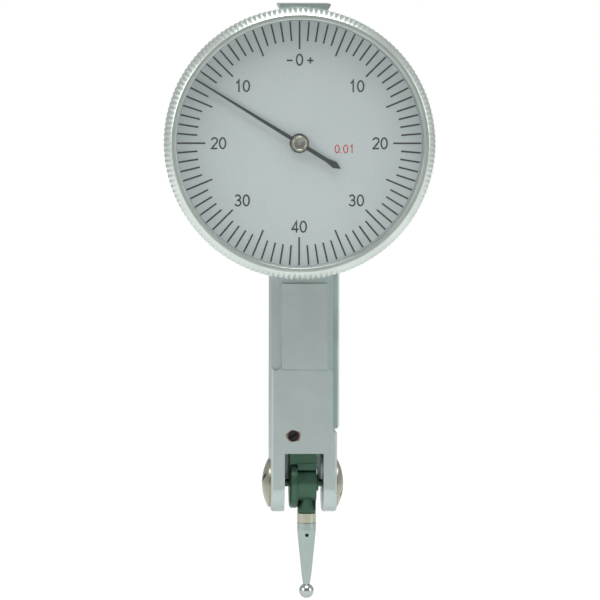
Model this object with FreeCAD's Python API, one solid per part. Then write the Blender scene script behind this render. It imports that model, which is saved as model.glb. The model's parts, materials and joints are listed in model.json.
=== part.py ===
import FreeCAD
import Part
import math
import os

# Lever-type dial test indicator: 0.01 mm to a division, 0.8 mm to one turn of the hand.
#
# Millimetres.  +Z runs up the stem, the dial faces -Y and +X is to the right as it is read.
# The origin is where the hand's axis meets the flat rear face of the body.

Vector = FreeCAD.Vector
X_AXIS = Vector(1, 0, 0)
Y_AXIS = Vector(0, 1, 0)
Z_AXIS = Vector(0, 0, 1)

# ---- fits and clearances ---------------------------------------------------------------
RUNNING_FIT = 0.03          # radial, a shaft turning in its bearing
SEAT_FIT = 0.01             # radial, a piece pressed or screwed into another
COVER_FIT = 0.05            # round the rear cover in its rebate
CUT_PAST = 1.0              # how far a cutter runs past the face it opens

# ---- body: a square bar with dovetail rails, a round case and a clevis -------------------
BODY_WIDTH = 8.8
BODY_DEPTH = 10.0
STEM_OFFSET = 0.9           # the bar's middle stands this far to the right of the hand's axis
SHOULDER_HEIGHT = 16.9      # from the hand's axis up to the bar's top face
BAR_CHAMFER = 0.25
RAIL_FLANK = math.radians(30.0)
RAIL_CHAMFER = 0.2
RAIL_RELIEF = 0.55          # depth milled away beside a long rail
RAIL_PROUD = 0.35           # how far a long rail stands above the bar's own face
TOP_RAIL_WIDTH = 7.1
TOP_RAIL_HEIGHT = 1.6
FRONT_RAIL_WIDTH = 6.5
FRONT_RAIL_BELOW_BEZEL = 0.9
FRONT_RAIL_LENGTH = 11.6
SIDE_RAIL_WIDTH = 6.5
SIDE_RAIL_START = 14.0
SIDE_RAIL_END = 38.5
SIDE_RELIEF_RUNOUT = 0.45   # gap left below the side rail by the cutter

# ---- lever pivot and clevis --------------------------------------------------------------
PIVOT_DROP = 46.0           # from the hand's axis down to the lever's pivot
PIVOT_DEPTH = 5.0           # from the rear face forward to the lever's pivot
SLOT_WIDTH = 5.2
SLOT_ABOVE_PIVOT = 4.3
EAR_BELOW_PIVOT = 3.7
EAR_SIDE_ROUND = 3.2        # corner radius of the ears seen from the side
EAR_FRONT_ROUND = 0.5       # outer corner radius of the ears seen from the front
WEB_THICKNESS = 1.2         # rear wall of the clevis slot
WEB_BELOW_PIVOT = 0.2
NOTCH_HALF_WIDTH = 1.6      # gap in the web that lets the stylus swing back
NOTCH_ABOVE_PIVOT = 2.8

# ---- hollows for the movement ------------------------------------------------------------
HEAD_ROOM_WIDTH = 6.4
HEAD_ROOM_TOP = 6.0
HEAD_ROOM_BOTTOM = -14.0
CHANNEL_WIDTH = 2.0
FRONT_WALL = 2.0            # bar wall in front of the blade's channel
CHANNEL_BOTTOM = -37.5      # where the channel stops being open to the rear
LEVER_ROOM_TOP = -38.6
FLOOR_HOLE_RADIUS = 1.6

# ---- case, bezel and dial, built forward from the bar -------------------------------------
CASE_SINK = 0.6             # how far the case's back is set into the bar's front
CASE_FLOOR = 0.8
CASE_FLANGE_THICKNESS = 1.0
CASE_FLANGE_INSET = 0.7     # how far the flange stays inside the knurl
CASE_RIM_HEIGHT = 2.0
CASE_RIM_WALL = 1.5
CASE_CHAMFER = 0.35
RIM_TO_RETAINER = 0.2
RETAINER_THICKNESS = 0.3
RETAINER_WIDTH = 1.1
RETAINER_GAP_DEG = 14.0
DIAL_THICKNESS = 0.4
DIAL_HOLE_RADIUS = 1.3
SPACER_HEIGHT = 1.7
CRYSTAL_THICKNESS = 1.0
LIP_THICKNESS = 0.6
BEZEL_RADIUS = 18.0         # over the knurl
BEZEL_WALL = 1.25
LIP_COVER = 0.25            # how far the lip reaches over the crystal
SPACER_REAR_WIDTH = 0.55
SPACER_FRONT_WIDTH = 0.33
BEZEL_ON_CASE_FIT = 0.05
BEZEL_REAR_GAP = 0.15
BEZEL_FRONT_CHAMFER = 0.9
BEZEL_REAR_CHAMFER = 0.35
KNURL_TEETH = 160
KNURL_DEPTH = 0.35
WIRE_THICKNESS = 0.5
WIRE_SINK = 0.08            # how far the wire's middle lies inside the case's rim
WIRE_GAP_DEG = 24.0
WIRE_GROOVE_CLEARANCE = 0.05
BEZEL_GROOVE_DEPTH = 0.25

# ---- going train ---------------------------------------------------------------------------
PRESSURE_ANGLE = math.radians(20.0)
LEVER_MODULE = 0.2
LEVER_PINION_TEETH = 12
SECTOR_TEETH_EACH_SIDE = 3
SECTOR_HALF_WIDTH = 2.2
SECTOR_HEAD_HEIGHT = 3.2
CROWN_MODULE = 0.16
CROWN_TEETH = 43
CENTRE_PINION_TEETH = 14
ADDENDUM = 0.9              # tooth heights, in modules
DEDENDUM = 1.25
BACKLASH = 0.03
CROWN_FACE = 0.76           # radial length of the crown teeth
CROWN_DISC_THICKNESS = 0.4
CROWN_HUB_RADIUS = 1.0
LEVER_PINION_FACE = 1.0
CENTRE_PINION_FACE = 0.9
CROWN_TO_LEVER_PINION = 0.23
ARBOR_RADIUS = 0.4
CENTRE_ARBOR_RADIUS = 0.3
PIVOT_TIP_RADIUS = 0.2
JEWEL_RADIUS = 0.6
JEWEL_THICKNESS = 0.6
ARBOR_END_SHAKE = 0.05

# ---- movement plate, bridge, hairspring -----------------------------------------------------
PLATE_THICKNESS = 1.0
PLATE_EDGE_GAP = 0.4
PLATE_SCREW_INSET = 2.8
PLATE_SCREW_COUNT = 3
BRIDGE_THICKNESS = 0.8
BRIDGE_REAR_Y = -6.5
BRIDGE_HALF_WIDTH = 1.4
BRIDGE_FOOT_START = 3.4
BRIDGE_FOOT_END = 5.6
BRIDGE_TO_CROWN = 0.21
SMALL_SCREW_RADIUS = 0.4
SMALL_SCREW_HEAD_RADIUS = 0.8
SMALL_SCREW_HEAD_HEIGHT = 0.4
SMALL_SLOT_WIDTH = 0.25
HAIRSPRING_TURNS = 5
HAIRSPRING_PITCH = 0.62
HAIRSPRING_STRIP = 0.1
HAIRSPRING_HEIGHT = 0.35
COLLET_RADIUS = 0.7
COLLET_HEIGHT = 0.55
COLLET_TO_PLATE = 0.15
STUD_RADIUS = 0.4

# ---- hand ------------------------------------------------------------------------------------
DIVISIONS = 80
HAND_REST_DIVISION = -13
HAND_TIP_GAP = 0.3          # from the hand's tip to the spacer ring
HAND_TIP_WIDTH = 0.2
HAND_ROOT_WIDTH = 0.55
HAND_THICKNESS = 0.15
HAND_TAIL_LENGTH = 6.5
HAND_TAIL_WIDE_RADIUS = 5.5
HAND_TAIL_NECK_RADIUS = 4.3
HAND_TAIL_WIDTH = 0.95
HAND_ABOVE_DIAL = 0.6
HUB_RADIUS = 1.1
HUB_HEIGHT = 0.6
HUB_SEAT_RADIUS = 0.25
HUB_BEVEL = 0.2

# ---- lever, stylus holder and stylus -----------------------------------------------------------
BLADE_THICKNESS = 0.6
BLADE_NECK_HALF_WIDTH = 0.6
BLADE_FOOT_HALF_WIDTH = 1.1
BLADE_FOOT_OVERLAP = 2.6
BLADE_HOLE_RADIUS = 0.75
BLOCK_WIDTH = 3.6
BLOCK_HALF_DEPTH = 2.1
BLOCK_BOTTOM_ABOVE_PIVOT = 2.75
BLOCK_TOP_ABOVE_PIVOT = 6.4
BLOCK_CORNER = 0.5
CHEEK_THICKNESS = 0.9
CHEEK_RADIUS = 3.4
SHAFT_RADIUS = 0.5
SHAFT_END_GAP = 0.1
WASHER_GAP = 0.2            # room for the sprung washer between cheek and holder
WASHER_THICKNESS = 0.1
WASHER_RADIUS = 1.7
HOLDER_WIDTH = 2.5
HOLDER_DISC_RADIUS = 2.5
HOLDER_BELOW_PIVOT = 4.07
COLLAR_RADIUS = 1.1
COLLAR_THICKNESS = 0.28
COLLAR_GAP = 0.03
STYLUS_RADIUS = 1.28
STYLUS_STUD_RADIUS = 0.73
STYLUS_STUD_LENGTH = 1.3
STYLUS_BAND_LENGTH = 1.3
STYLUS_BAND_GROOVE = 0.04
STYLUS_BARREL_LENGTH = 2.3
STYLUS_KNEE_BELOW_PIVOT = 12.36
STYLUS_KNEE_RADIUS = 0.675
STYLUS_NECK_RADIUS = 0.46
STYLUS_TOMMY_BELOW_PIVOT = 7.0
STYLUS_TOMMY_RADIUS = 0.24
BALL_RADIUS = 1.0
LEVER_LENGTH = 14.6         # pivot to ball centre

# ---- fasteners that show -------------------------------------------------------------------------
PIVOT_HEAD_RADIUS = 3.25
PIVOT_HEAD_EDGE = 0.25
PIVOT_HEAD_HEIGHT = 1.07
PIVOT_SHANK_RADIUS = 1.2
PIVOT_SLOT_WIDTH = 0.5
PIVOT_SLOT_DEPTH = 0.5
PIVOT_SLOT_LEFT_DEG = 32.0
PIVOT_SLOT_RIGHT_DEG = 41.0
SET_SCREW_RADIUS = 0.75
SET_SCREW_LENGTH = 1.4
SET_SCREW_RECESS = 0.5
SET_SCREW_LEFT_OF_MIDDLE = 1.45
SET_SCREW_DROP = 39.3
COVER_THICKNESS = 0.8
COVER_WIDTH = 7.2
COVER_TOP = 12.0
COVER_BOTTOM = -38.0
COVER_CORNER = 1.0
COVER_HEAD_RADIUS = 1.1
COVER_HEAD_DEPTH = 0.5
COVER_SHANK_RADIUS = 0.55
COVER_SCREW_LENGTH = 3.2
COVER_SCREW_TOP_Z = 9.2
COVER_SCREW_TOP_SPREAD = 2.2
COVER_SCREW_LOW_INSET = 1.8
COVER_SCREW_LOW_Z = (-17.0, -34.0)

# ---- places worked out from the sizes ------------------------------------------------------------
BODY_LEFT = STEM_OFFSET - BODY_WIDTH / 2
BODY_RIGHT = STEM_OFFSET + BODY_WIDTH / 2
FRONT_Y = -BODY_DEPTH
PIVOT_Y = -PIVOT_DEPTH
PIVOT_Z = -PIVOT_DROP
EAR_BOTTOM = PIVOT_Z - EAR_BELOW_PIVOT
SLOT_TOP = PIVOT_Z + SLOT_ABOVE_PIVOT
SLOT_LEFT = STEM_OFFSET - SLOT_WIDTH / 2
SLOT_RIGHT = STEM_OFFSET + SLOT_WIDTH / 2
ROOM_LEFT = STEM_OFFSET - HEAD_ROOM_WIDTH / 2
ROOM_RIGHT = STEM_OFFSET + HEAD_ROOM_WIDTH / 2

FRONT_RAIL_START = BEZEL_RADIUS + FRONT_RAIL_BELOW_BEZEL
FRONT_RAIL_END = FRONT_RAIL_START + FRONT_RAIL_LENGTH

BEZEL_BORE_RADIUS = BEZEL_RADIUS - BEZEL_WALL
LIP_INNER_RADIUS = BEZEL_BORE_RADIUS - LIP_COVER
DIAL_VIEW_RADIUS = BEZEL_BORE_RADIUS - SPACER_REAR_WIDTH
SPACER_FRONT_RADIUS = BEZEL_BORE_RADIUS - SPACER_FRONT_WIDTH
RETAINER_INNER_RADIUS = BEZEL_BORE_RADIUS + BEZEL_GROOVE_DEPTH - RETAINER_WIDTH
CASE_FLANGE_RADIUS = BEZEL_RADIUS - CASE_FLANGE_INSET
CASE_RIM_RADIUS = BEZEL_BORE_RADIUS - BEZEL_ON_CASE_FIT
CASE_POCKET_RADIUS = CASE_RIM_RADIUS - CASE_RIM_WALL
WIRE_INNER_RADIUS = CASE_RIM_RADIUS - WIRE_SINK - WIRE_THICKNESS / 2
WIRE_OUTER_RADIUS = WIRE_INNER_RADIUS + WIRE_THICKNESS
PLATE_RADIUS = CASE_POCKET_RADIUS - PLATE_EDGE_GAP
PLATE_SCREW_CIRCLE = PLATE_RADIUS - PLATE_SCREW_INSET
HAND_TIP_RADIUS = DIAL_VIEW_RADIUS - HAND_TIP_GAP

CASE_BACK_Y = FRONT_Y + CASE_SINK
FLOOR_Y = CASE_BACK_Y - CASE_FLOOR
FLANGE_Y = CASE_BACK_Y - CASE_FLANGE_THICKNESS
RIM_Y = FLANGE_Y - CASE_RIM_HEIGHT
RETAINER_REAR_Y = RIM_Y - RIM_TO_RETAINER
DIAL_REAR_Y = RETAINER_REAR_Y - RETAINER_THICKNESS
DIAL_Y = DIAL_REAR_Y - DIAL_THICKNESS
CRYSTAL_REAR_Y = DIAL_Y - SPACER_HEIGHT
CRYSTAL_Y = CRYSTAL_REAR_Y - CRYSTAL_THICKNESS
BEZEL_FRONT_Y = CRYSTAL_Y - LIP_THICKNESS
BEZEL_REAR_Y = FLANGE_Y - BEZEL_REAR_GAP
WIRE_Y = FLANGE_Y - CASE_RIM_HEIGHT / 2
PLATE_Y = FLOOR_Y - PLATE_THICKNESS

LEVER_PINION_RADIUS = LEVER_MODULE * LEVER_PINION_TEETH / 2
SECTOR_RADIUS = PIVOT_DROP - LEVER_PINION_RADIUS
CROWN_RADIUS = CROWN_MODULE * CROWN_TEETH / 2
CENTRE_PINION_RADIUS = CROWN_MODULE * CENTRE_PINION_TEETH / 2
CROWN_MESH_Y = PIVOT_Y - CROWN_RADIUS
CROWN_TOOTH_ROOT_X = CENTRE_PINION_RADIUS + DEDENDUM * CROWN_MODULE
CROWN_TOOTH_TIP_X = CENTRE_PINION_RADIUS - ADDENDUM * CROWN_MODULE
CROWN_DISC_X = CROWN_TOOTH_ROOT_X + CROWN_DISC_THICKNESS
LEVER_PINION_X = CROWN_DISC_X + CROWN_TO_LEVER_PINION

BLOCK_LEFT = STEM_OFFSET - BLOCK_WIDTH / 2
BLOCK_RIGHT = STEM_OFFSET + BLOCK_WIDTH / 2
BLOCK_BOTTOM = PIVOT_Z + BLOCK_BOTTOM_ABOVE_PIVOT
BLOCK_TOP = PIVOT_Z + BLOCK_TOP_ABOVE_PIVOT
BLADE_RIGHT = BLOCK_RIGHT
BLADE_LEFT = BLADE_RIGHT - BLADE_THICKNESS
HOLDER_RIGHT = BLOCK_RIGHT
HOLDER_LEFT = HOLDER_RIGHT - HOLDER_WIDTH
CHEEK_RIGHT = BLOCK_LEFT + CHEEK_THICKNESS
STYLUS_X = (HOLDER_LEFT + HOLDER_RIGHT) / 2
HOLDER_BOTTOM = PIVOT_Z - HOLDER_BELOW_PIVOT
BALL_Z = PIVOT_Z - LEVER_LENGTH
HAND_ANGLE = math.radians(360.0 / DIVISIONS * HAND_REST_DIVISION)
HAND_Y = DIAL_Y - HAND_ABOVE_DIAL
HUB_Y = HAND_Y - HAND_THICKNESS
COVER_LEFT = STEM_OFFSET - COVER_WIDTH / 2
COVER_RIGHT = STEM_OFFSET + COVER_WIDTH / 2


# ---- forms ---------------------------------------------------------------------------------------
def block(x_range, y_range, z_range):
    """Rectangular solid between two planes on each axis."""
    low = Vector(min(x_range), min(y_range), min(z_range))
    size = [abs(pair[1] - pair[0]) for pair in (x_range, y_range, z_range)]
    return Part.makeBox(size[0], size[1], size[2], low)


def rod(axis, start, length, radius):
    """Cylinder from a start point along an axis."""
    return Part.makeCylinder(radius, length, start, axis)


def prism(points, travel):
    """Straight extrusion of a closed outline."""
    wire = Part.makePolygon(points + [points[0]])
    return Part.Face(wire).extrude(travel)


def turned(axis, outward, centre, profile):
    """Solid of revolution; the profile is a list of (place along the axis, radius)."""
    points = [centre + axis * along + outward * radius for along, radius in profile]
    wire = Part.makePolygon(points + [points[0]])
    return Part.Face(wire).revolve(centre, axis, 360)


def turned_on_dial_axis(profile):
    """Turned piece on the hand's axis; the profile is a list of (y, radius)."""
    return turned(Y_AXIS, X_AXIS, Vector(0, 0, 0), profile)


def turned_on_cross_axis(profile, drop=0.0):
    """Turned piece on an axis along X in the pivot's depth; the profile is (x, radius)."""
    return turned(X_AXIS, Z_AXIS, Vector(0, PIVOT_Y, -drop), profile)


def tube_profile(start, end, inner, outer):
    """Profile of a plain ring."""
    return [(start, inner), (start, outer), (end, outer), (end, inner)]


def fused(shapes):
    """One solid from touching or overlapping ones."""
    return shapes[0].multiFuse(shapes[1:]).removeSplitter()


def as_group(shapes):
    """Separate solids that share one node."""
    return Part.makeCompound(shapes)


def drilled(shape, cutters):
    """A solid less its cutters."""
    return shape.cut(Part.makeCompound(cutters)) if len(cutters) > 1 else shape.cut(cutters[0])


def dovetail(width, height, length):
    """Rail standing on the plane y = 0, facing -Y and running down from z = 0."""
    half = width / 2
    foot = half - height * math.tan(RAIL_FLANK)
    edge = half - RAIL_CHAMFER
    shade = half - RAIL_CHAMFER * math.tan(RAIL_FLANK)
    outline = [
        Vector(-foot, 0, 0),
        Vector(-shade, -height + RAIL_CHAMFER, 0),
        Vector(-edge, -height, 0),
        Vector(edge, -height, 0),
        Vector(shade, -height + RAIL_CHAMFER, 0),
        Vector(foot, 0, 0),
    ]
    return prism(outline, Vector(0, 0, -length))


def slotted(head, axis, angle, centre, width, depth, reach):
    """Cut a driver slot across a screw head whose top is at centre, facing along axis."""
    across = block((-reach, reach), (-width / 2, width / 2), (-depth, CUT_PAST))
    across.Placement = FreeCAD.Placement(centre, FreeCAD.Rotation(Z_AXIS, axis))
    across.rotate(centre, axis, angle)
    return head.cut(across)


# ---- gear teeth -----------------------------------------------------------------------------------
def involute_flank(base_radius, start_radius, end_radius, half_angle_at_base):
    """Points of one flank as (radius, angle), from the root side to the tip."""
    flank = []
    steps = 4
    for step in range(steps + 1):
        radius = start_radius + (end_radius - start_radius) * step / steps
        roll = math.sqrt(max((radius / base_radius) ** 2 - 1.0, 0.0))
        turn = roll - math.atan(roll)
        flank.append((radius, half_angle_at_base - turn))
    return flank


def pinion(axis, first, second, centre, module, teeth, face):
    """Involute pinion with a tooth gap centred on the direction called first."""
    pitch = module * teeth / 2
    base = pitch * math.cos(PRESSURE_ANGLE)
    tip = pitch + ADDENDUM * module
    root = pitch - DEDENDUM * module
    gap_angle = math.pi / (2 * teeth) - BACKLASH / (2 * pitch)
    at_base = gap_angle + math.tan(PRESSURE_ANGLE) - PRESSURE_ANGLE
    flank = involute_flank(base, max(base, root), tip, at_base)

    def place(radius, angle):
        return centre + first * (radius * math.cos(angle)) + second * (radius * math.sin(angle))

    edges = []
    for index in range(teeth):
        middle = (index + 0.5) * 2 * math.pi / teeth
        rising = [place(radius, middle - turn) for radius, turn in flank]
        falling = [place(radius, middle + turn) for radius, turn in reversed(flank)]
        foot = place(root, middle - at_base)
        heel = place(root, middle + at_base)
        next_foot = place(root, middle + 2 * math.pi / teeth - at_base)
        for curve in (rising, falling):
            spline = Part.BSplineCurve()
            spline.interpolate(curve)
            if curve is rising:
                edges.append(Part.LineSegment(foot, rising[0]).toShape())
                edges.append(spline.toShape())
                edges.append(Part.LineSegment(rising[-1], falling[0]).toShape())
            else:
                edges.append(spline.toShape())
                edges.append(Part.LineSegment(falling[-1], heel).toShape())
        edges.append(Part.LineSegment(heel, next_foot).toShape())
    outline = Part.Wire(Part.sortEdges(edges)[0])
    return Part.Face(outline).extrude(axis * face)


def rack_tooth(module):
    """Half widths of a straight-sided tooth at its root, and at its tip."""
    at_pitch = math.pi * module / 4 - BACKLASH / 2
    slope = math.tan(PRESSURE_ANGLE)
    return at_pitch + DEDENDUM * module * slope, at_pitch - ADDENDUM * module * slope


# ---- body and its rear cover -------------------------------------------------------------------
def bar_blank():
    """The square bar, with its long edges broken and its ears rounded."""
    c = BAR_CHAMFER
    outline = [
        Vector(BODY_LEFT + c, 0, EAR_BOTTOM),
        Vector(BODY_RIGHT - c, 0, EAR_BOTTOM),
        Vector(BODY_RIGHT, -c, EAR_BOTTOM),
        Vector(BODY_RIGHT, FRONT_Y + c, EAR_BOTTOM),
        Vector(BODY_RIGHT - c, FRONT_Y, EAR_BOTTOM),
        Vector(BODY_LEFT + c, FRONT_Y, EAR_BOTTOM),
        Vector(BODY_LEFT, FRONT_Y + c, EAR_BOTTOM),
        Vector(BODY_LEFT, -c, EAR_BOTTOM),
    ]
    bar = prism(outline, Vector(0, 0, SHOULDER_HEIGHT - EAR_BOTTOM))
    for y in (0.0, FRONT_Y):
        bar = rounded_corner(bar, X_AXIS, y, PIVOT_Y, EAR_SIDE_ROUND)
    for x in (BODY_LEFT, BODY_RIGHT):
        bar = rounded_corner(bar, Y_AXIS, x, STEM_OFFSET, EAR_FRONT_ROUND)
    return bar


def rounded_corner(bar, axis, face, middle, radius):
    """Round one bottom edge of the bar, which runs along the axis at the given face."""
    inward = math.copysign(radius, middle - face)
    reach = BODY_WIDTH + BODY_DEPTH
    if axis == X_AXIS:
        corner = block((BODY_LEFT - CUT_PAST, BODY_RIGHT + CUT_PAST),
                       (face - inward, face + inward), (EAR_BOTTOM - CUT_PAST, EAR_BOTTOM + radius))
        start = Vector(BODY_LEFT - reach, face + inward, EAR_BOTTOM + radius)
    else:
        corner = block((face - inward, face + inward),
                       (FRONT_Y - CUT_PAST, CUT_PAST), (EAR_BOTTOM - CUT_PAST, EAR_BOTTOM + radius))
        start = Vector(face + inward, FRONT_Y - reach, EAR_BOTTOM + radius)
    waste = corner.cut(rod(axis, start, 4 * reach, radius))
    return bar.cut(waste)


def top_rail():
    """Dovetail across the top of the bar, running from front to rear."""
    rail = dovetail(TOP_RAIL_WIDTH, TOP_RAIL_HEIGHT, BODY_DEPTH)
    rail.rotate(Vector(0, 0, 0), X_AXIS, -90)
    rail.translate(Vector(STEM_OFFSET, 0, SHOULDER_HEIGHT))
    return rail


def front_rail():
    """Dovetail down the front of the bar, below the bezel."""
    rail = dovetail(FRONT_RAIL_WIDTH, RAIL_RELIEF + RAIL_PROUD, FRONT_RAIL_END - FRONT_RAIL_START)
    rail.translate(Vector(STEM_OFFSET, FRONT_Y + RAIL_RELIEF, -FRONT_RAIL_START))
    return bevelled_end(rail, -FRONT_RAIL_END)


def bevelled_end(rail, end):
    """Break the lower end of the front rail down to the face of the bar below it."""
    half = FRONT_RAIL_WIDTH
    face = FRONT_Y - RAIL_PROUD
    wedge = [
        Vector(STEM_OFFSET - half, face, end + RAIL_PROUD / 2),
        Vector(STEM_OFFSET - half, face - CUT_PAST, end + RAIL_PROUD / 2),
        Vector(STEM_OFFSET - half, face - CUT_PAST, end - CUT_PAST),
        Vector(STEM_OFFSET - half, FRONT_Y, end),
    ]
    return rail.cut(prism(wedge, Vector(2 * half, 0, 0)))


def side_rail():
    """Dovetail down the right side of the bar, with a rounded lower end."""
    height = RAIL_RELIEF + RAIL_PROUD
    rail = dovetail(SIDE_RAIL_WIDTH, height, SIDE_RAIL_END - SIDE_RAIL_START)
    rail.rotate(Vector(0, 0, 0), Z_AXIS, 90)
    rail.translate(Vector(BODY_RIGHT - RAIL_RELIEF, PIVOT_Y, -SIDE_RAIL_START))
    face = BODY_RIGHT + RAIL_PROUD
    soft = RAIL_RELIEF
    corner = block((face - soft, face + CUT_PAST), (FRONT_Y - CUT_PAST, CUT_PAST),
                   (-SIDE_RAIL_END - CUT_PAST, -SIDE_RAIL_END + soft))
    keep = rod(Y_AXIS, Vector(face - soft, FRONT_Y - CUT_PAST, -SIDE_RAIL_END + soft),
               BODY_DEPTH + 2 * CUT_PAST, soft)
    return rail.cut(corner.cut(keep))


def rail_reliefs():
    """Metal milled away beside the front and side rails."""
    channel = (BODY_WIDTH - FRONT_RAIL_WIDTH) / 2
    cutter = channel / 2
    floor = FRONT_Y + RAIL_RELIEF
    end = -FRONT_RAIL_END + cutter
    front = block((BODY_LEFT - CUT_PAST, BODY_RIGHT + CUT_PAST), (FRONT_Y - CUT_PAST, floor),
                  (end, -CASE_FLANGE_RADIUS + CASE_SINK))
    cutters = [front]
    for side in (-1, 1):
        middle = STEM_OFFSET + side * (FRONT_RAIL_WIDTH / 2 + cutter)
        start = Vector(middle, FRONT_Y - CUT_PAST, end)
        cutters.append(rod(Y_AXIS, start, CUT_PAST + RAIL_RELIEF, cutter))
    wall = BODY_RIGHT - RAIL_RELIEF
    bottom = -SIDE_RAIL_END - SIDE_RELIEF_RUNOUT
    cutters.append(block((wall, BODY_RIGHT + CUT_PAST), (FRONT_Y - CUT_PAST, CUT_PAST),
                         (bottom + RAIL_RELIEF, -SIDE_RAIL_START)))
    cutters.append(rod(Y_AXIS, Vector(BODY_RIGHT, FRONT_Y - CUT_PAST, bottom + RAIL_RELIEF),
                       BODY_DEPTH + 2 * CUT_PAST, RAIL_RELIEF))
    return cutters


def case_blank():
    """Round case: flange, rim with its wire groove, and the pocket for the movement plate."""
    groove = WIRE_THICKNESS / 2 + WIRE_GROOVE_CLEARANCE
    groove_floor = WIRE_INNER_RADIUS - SEAT_FIT
    profile = [
        (CASE_BACK_Y, 0),
        (CASE_BACK_Y, CASE_FLANGE_RADIUS - CASE_CHAMFER),
        (CASE_BACK_Y - CASE_CHAMFER, CASE_FLANGE_RADIUS),
        (FLANGE_Y, CASE_FLANGE_RADIUS),
        (FLANGE_Y, CASE_RIM_RADIUS),
        (WIRE_Y + groove, CASE_RIM_RADIUS),
        (WIRE_Y + groove, groove_floor),
        (WIRE_Y - groove, groove_floor),
        (WIRE_Y - groove, CASE_RIM_RADIUS),
        (RIM_Y, CASE_RIM_RADIUS),
        (RIM_Y, CASE_POCKET_RADIUS),
        (FLOOR_Y, CASE_POCKET_RADIUS),
        (FLOOR_Y, 0),
    ]
    return turned_on_dial_axis(profile)


def movement_hollows():
    """Room for the wheels, the channel for the blade and the room for the lever block."""
    head = block((ROOM_LEFT, ROOM_RIGHT), (CASE_BACK_Y, CUT_PAST), (HEAD_ROOM_BOTTOM, HEAD_ROOM_TOP))
    blade_middle = (BLADE_LEFT + BLADE_RIGHT) / 2
    channel_x = (blade_middle - CHANNEL_WIDTH / 2, blade_middle + CHANNEL_WIDTH / 2)
    front = FRONT_Y + FRONT_WALL
    channel = block(channel_x, (front, CUT_PAST), (CHANNEL_BOTTOM, HEAD_ROOM_BOTTOM + CUT_PAST))
    throat = block(channel_x, (front, -WEB_THICKNESS), (LEVER_ROOM_TOP - CUT_PAST, CHANNEL_BOTTOM))
    lever_room = block((SLOT_LEFT, SLOT_RIGHT), (front, -WEB_THICKNESS),
                       (SLOT_TOP - CUT_PAST, LEVER_ROOM_TOP))
    return [head, channel, throat, lever_room]


def clevis_cuts():
    """The slot between the ears, open in front, with a notched web at the rear."""
    below = EAR_BOTTOM - CUT_PAST
    slot = block((SLOT_LEFT, SLOT_RIGHT), (FRONT_Y - CUT_PAST, -WEB_THICKNESS), (below, SLOT_TOP))
    under_web = block((SLOT_LEFT, SLOT_RIGHT), (-WEB_THICKNESS - CUT_PAST, CUT_PAST),
                      (below, PIVOT_Z - WEB_BELOW_PIVOT))
    notch = block((STYLUS_X - NOTCH_HALF_WIDTH, STYLUS_X + NOTCH_HALF_WIDTH),
                  (-WEB_THICKNESS - CUT_PAST, CUT_PAST),
                  (below, PIVOT_Z + NOTCH_ABOVE_PIVOT - NOTCH_HALF_WIDTH))
    crown = rod(Y_AXIS, Vector(STYLUS_X, -WEB_THICKNESS - CUT_PAST,
                               PIVOT_Z + NOTCH_ABOVE_PIVOT - NOTCH_HALF_WIDTH),
                WEB_THICKNESS + 2 * CUT_PAST, NOTCH_HALF_WIDTH)
    return [slot, under_web, notch, crown]


def cover_outline(grow):
    """Rounded plate shape of the rear cover, grown for its rebate."""
    plate = block((COVER_LEFT - grow, COVER_RIGHT + grow), (-COVER_THICKNESS, CUT_PAST * (grow > 0)),
                  (COVER_BOTTOM - grow, COVER_TOP + grow))
    upright = [edge for edge in plate.Edges
               if abs(edge.Vertexes[0].Y - edge.Vertexes[-1].Y) > COVER_THICKNESS / 2]
    return plate.makeFillet(COVER_CORNER, upright)


def cover_screw_places():
    """Centres of the rear cover's screws, on the rear face."""
    places = [Vector(STEM_OFFSET + side * COVER_SCREW_TOP_SPREAD, 0, COVER_SCREW_TOP_Z)
              for side in (-1, 1)]
    places += [Vector(STEM_OFFSET - COVER_SCREW_LOW_INSET, 0, z) for z in COVER_SCREW_LOW_Z]
    return places


def cover_screw_holes(grow):
    """Countersunk screw shape at each place, grown for its hole."""
    holes = []
    for place in cover_screw_places():
        profile = [
            (grow, 0),
            (grow, COVER_HEAD_RADIUS + grow),
            (-SEAT_FIT, COVER_HEAD_RADIUS + grow),
            (-COVER_HEAD_DEPTH, COVER_SHANK_RADIUS + grow),
            (-COVER_SCREW_LENGTH - grow, COVER_SHANK_RADIUS + grow),
            (-COVER_SCREW_LENGTH - grow, 0),
        ]
        holes.append(turned(Y_AXIS, X_AXIS, place, profile))
    return holes


def set_screw_axis_point(y):
    """Point on the set screw's axis at the given depth."""
    return Vector(STEM_OFFSET - SET_SCREW_LEFT_OF_MIDDLE, y, -SET_SCREW_DROP)


def plate_screw_places(y):
    """Centres of the movement plate's screws at the given depth."""
    places = []
    for index in range(PLATE_SCREW_COUNT):
        turn = math.radians(90.0 + 360.0 * index / PLATE_SCREW_COUNT)
        places.append(Vector(PLATE_SCREW_CIRCLE * math.cos(turn), y, PLATE_SCREW_CIRCLE * math.sin(turn)))
    return places


def bridge_screw_place(y):
    """Centre of the bridge screw at the given depth."""
    left = ROOM_LEFT + ARBOR_END_SHAKE
    right = CROWN_TOOTH_TIP_X - BRIDGE_TO_CROWN
    return Vector((left + right) / 2, y, (BRIDGE_FOOT_START + BRIDGE_FOOT_END) / 2)


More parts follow.
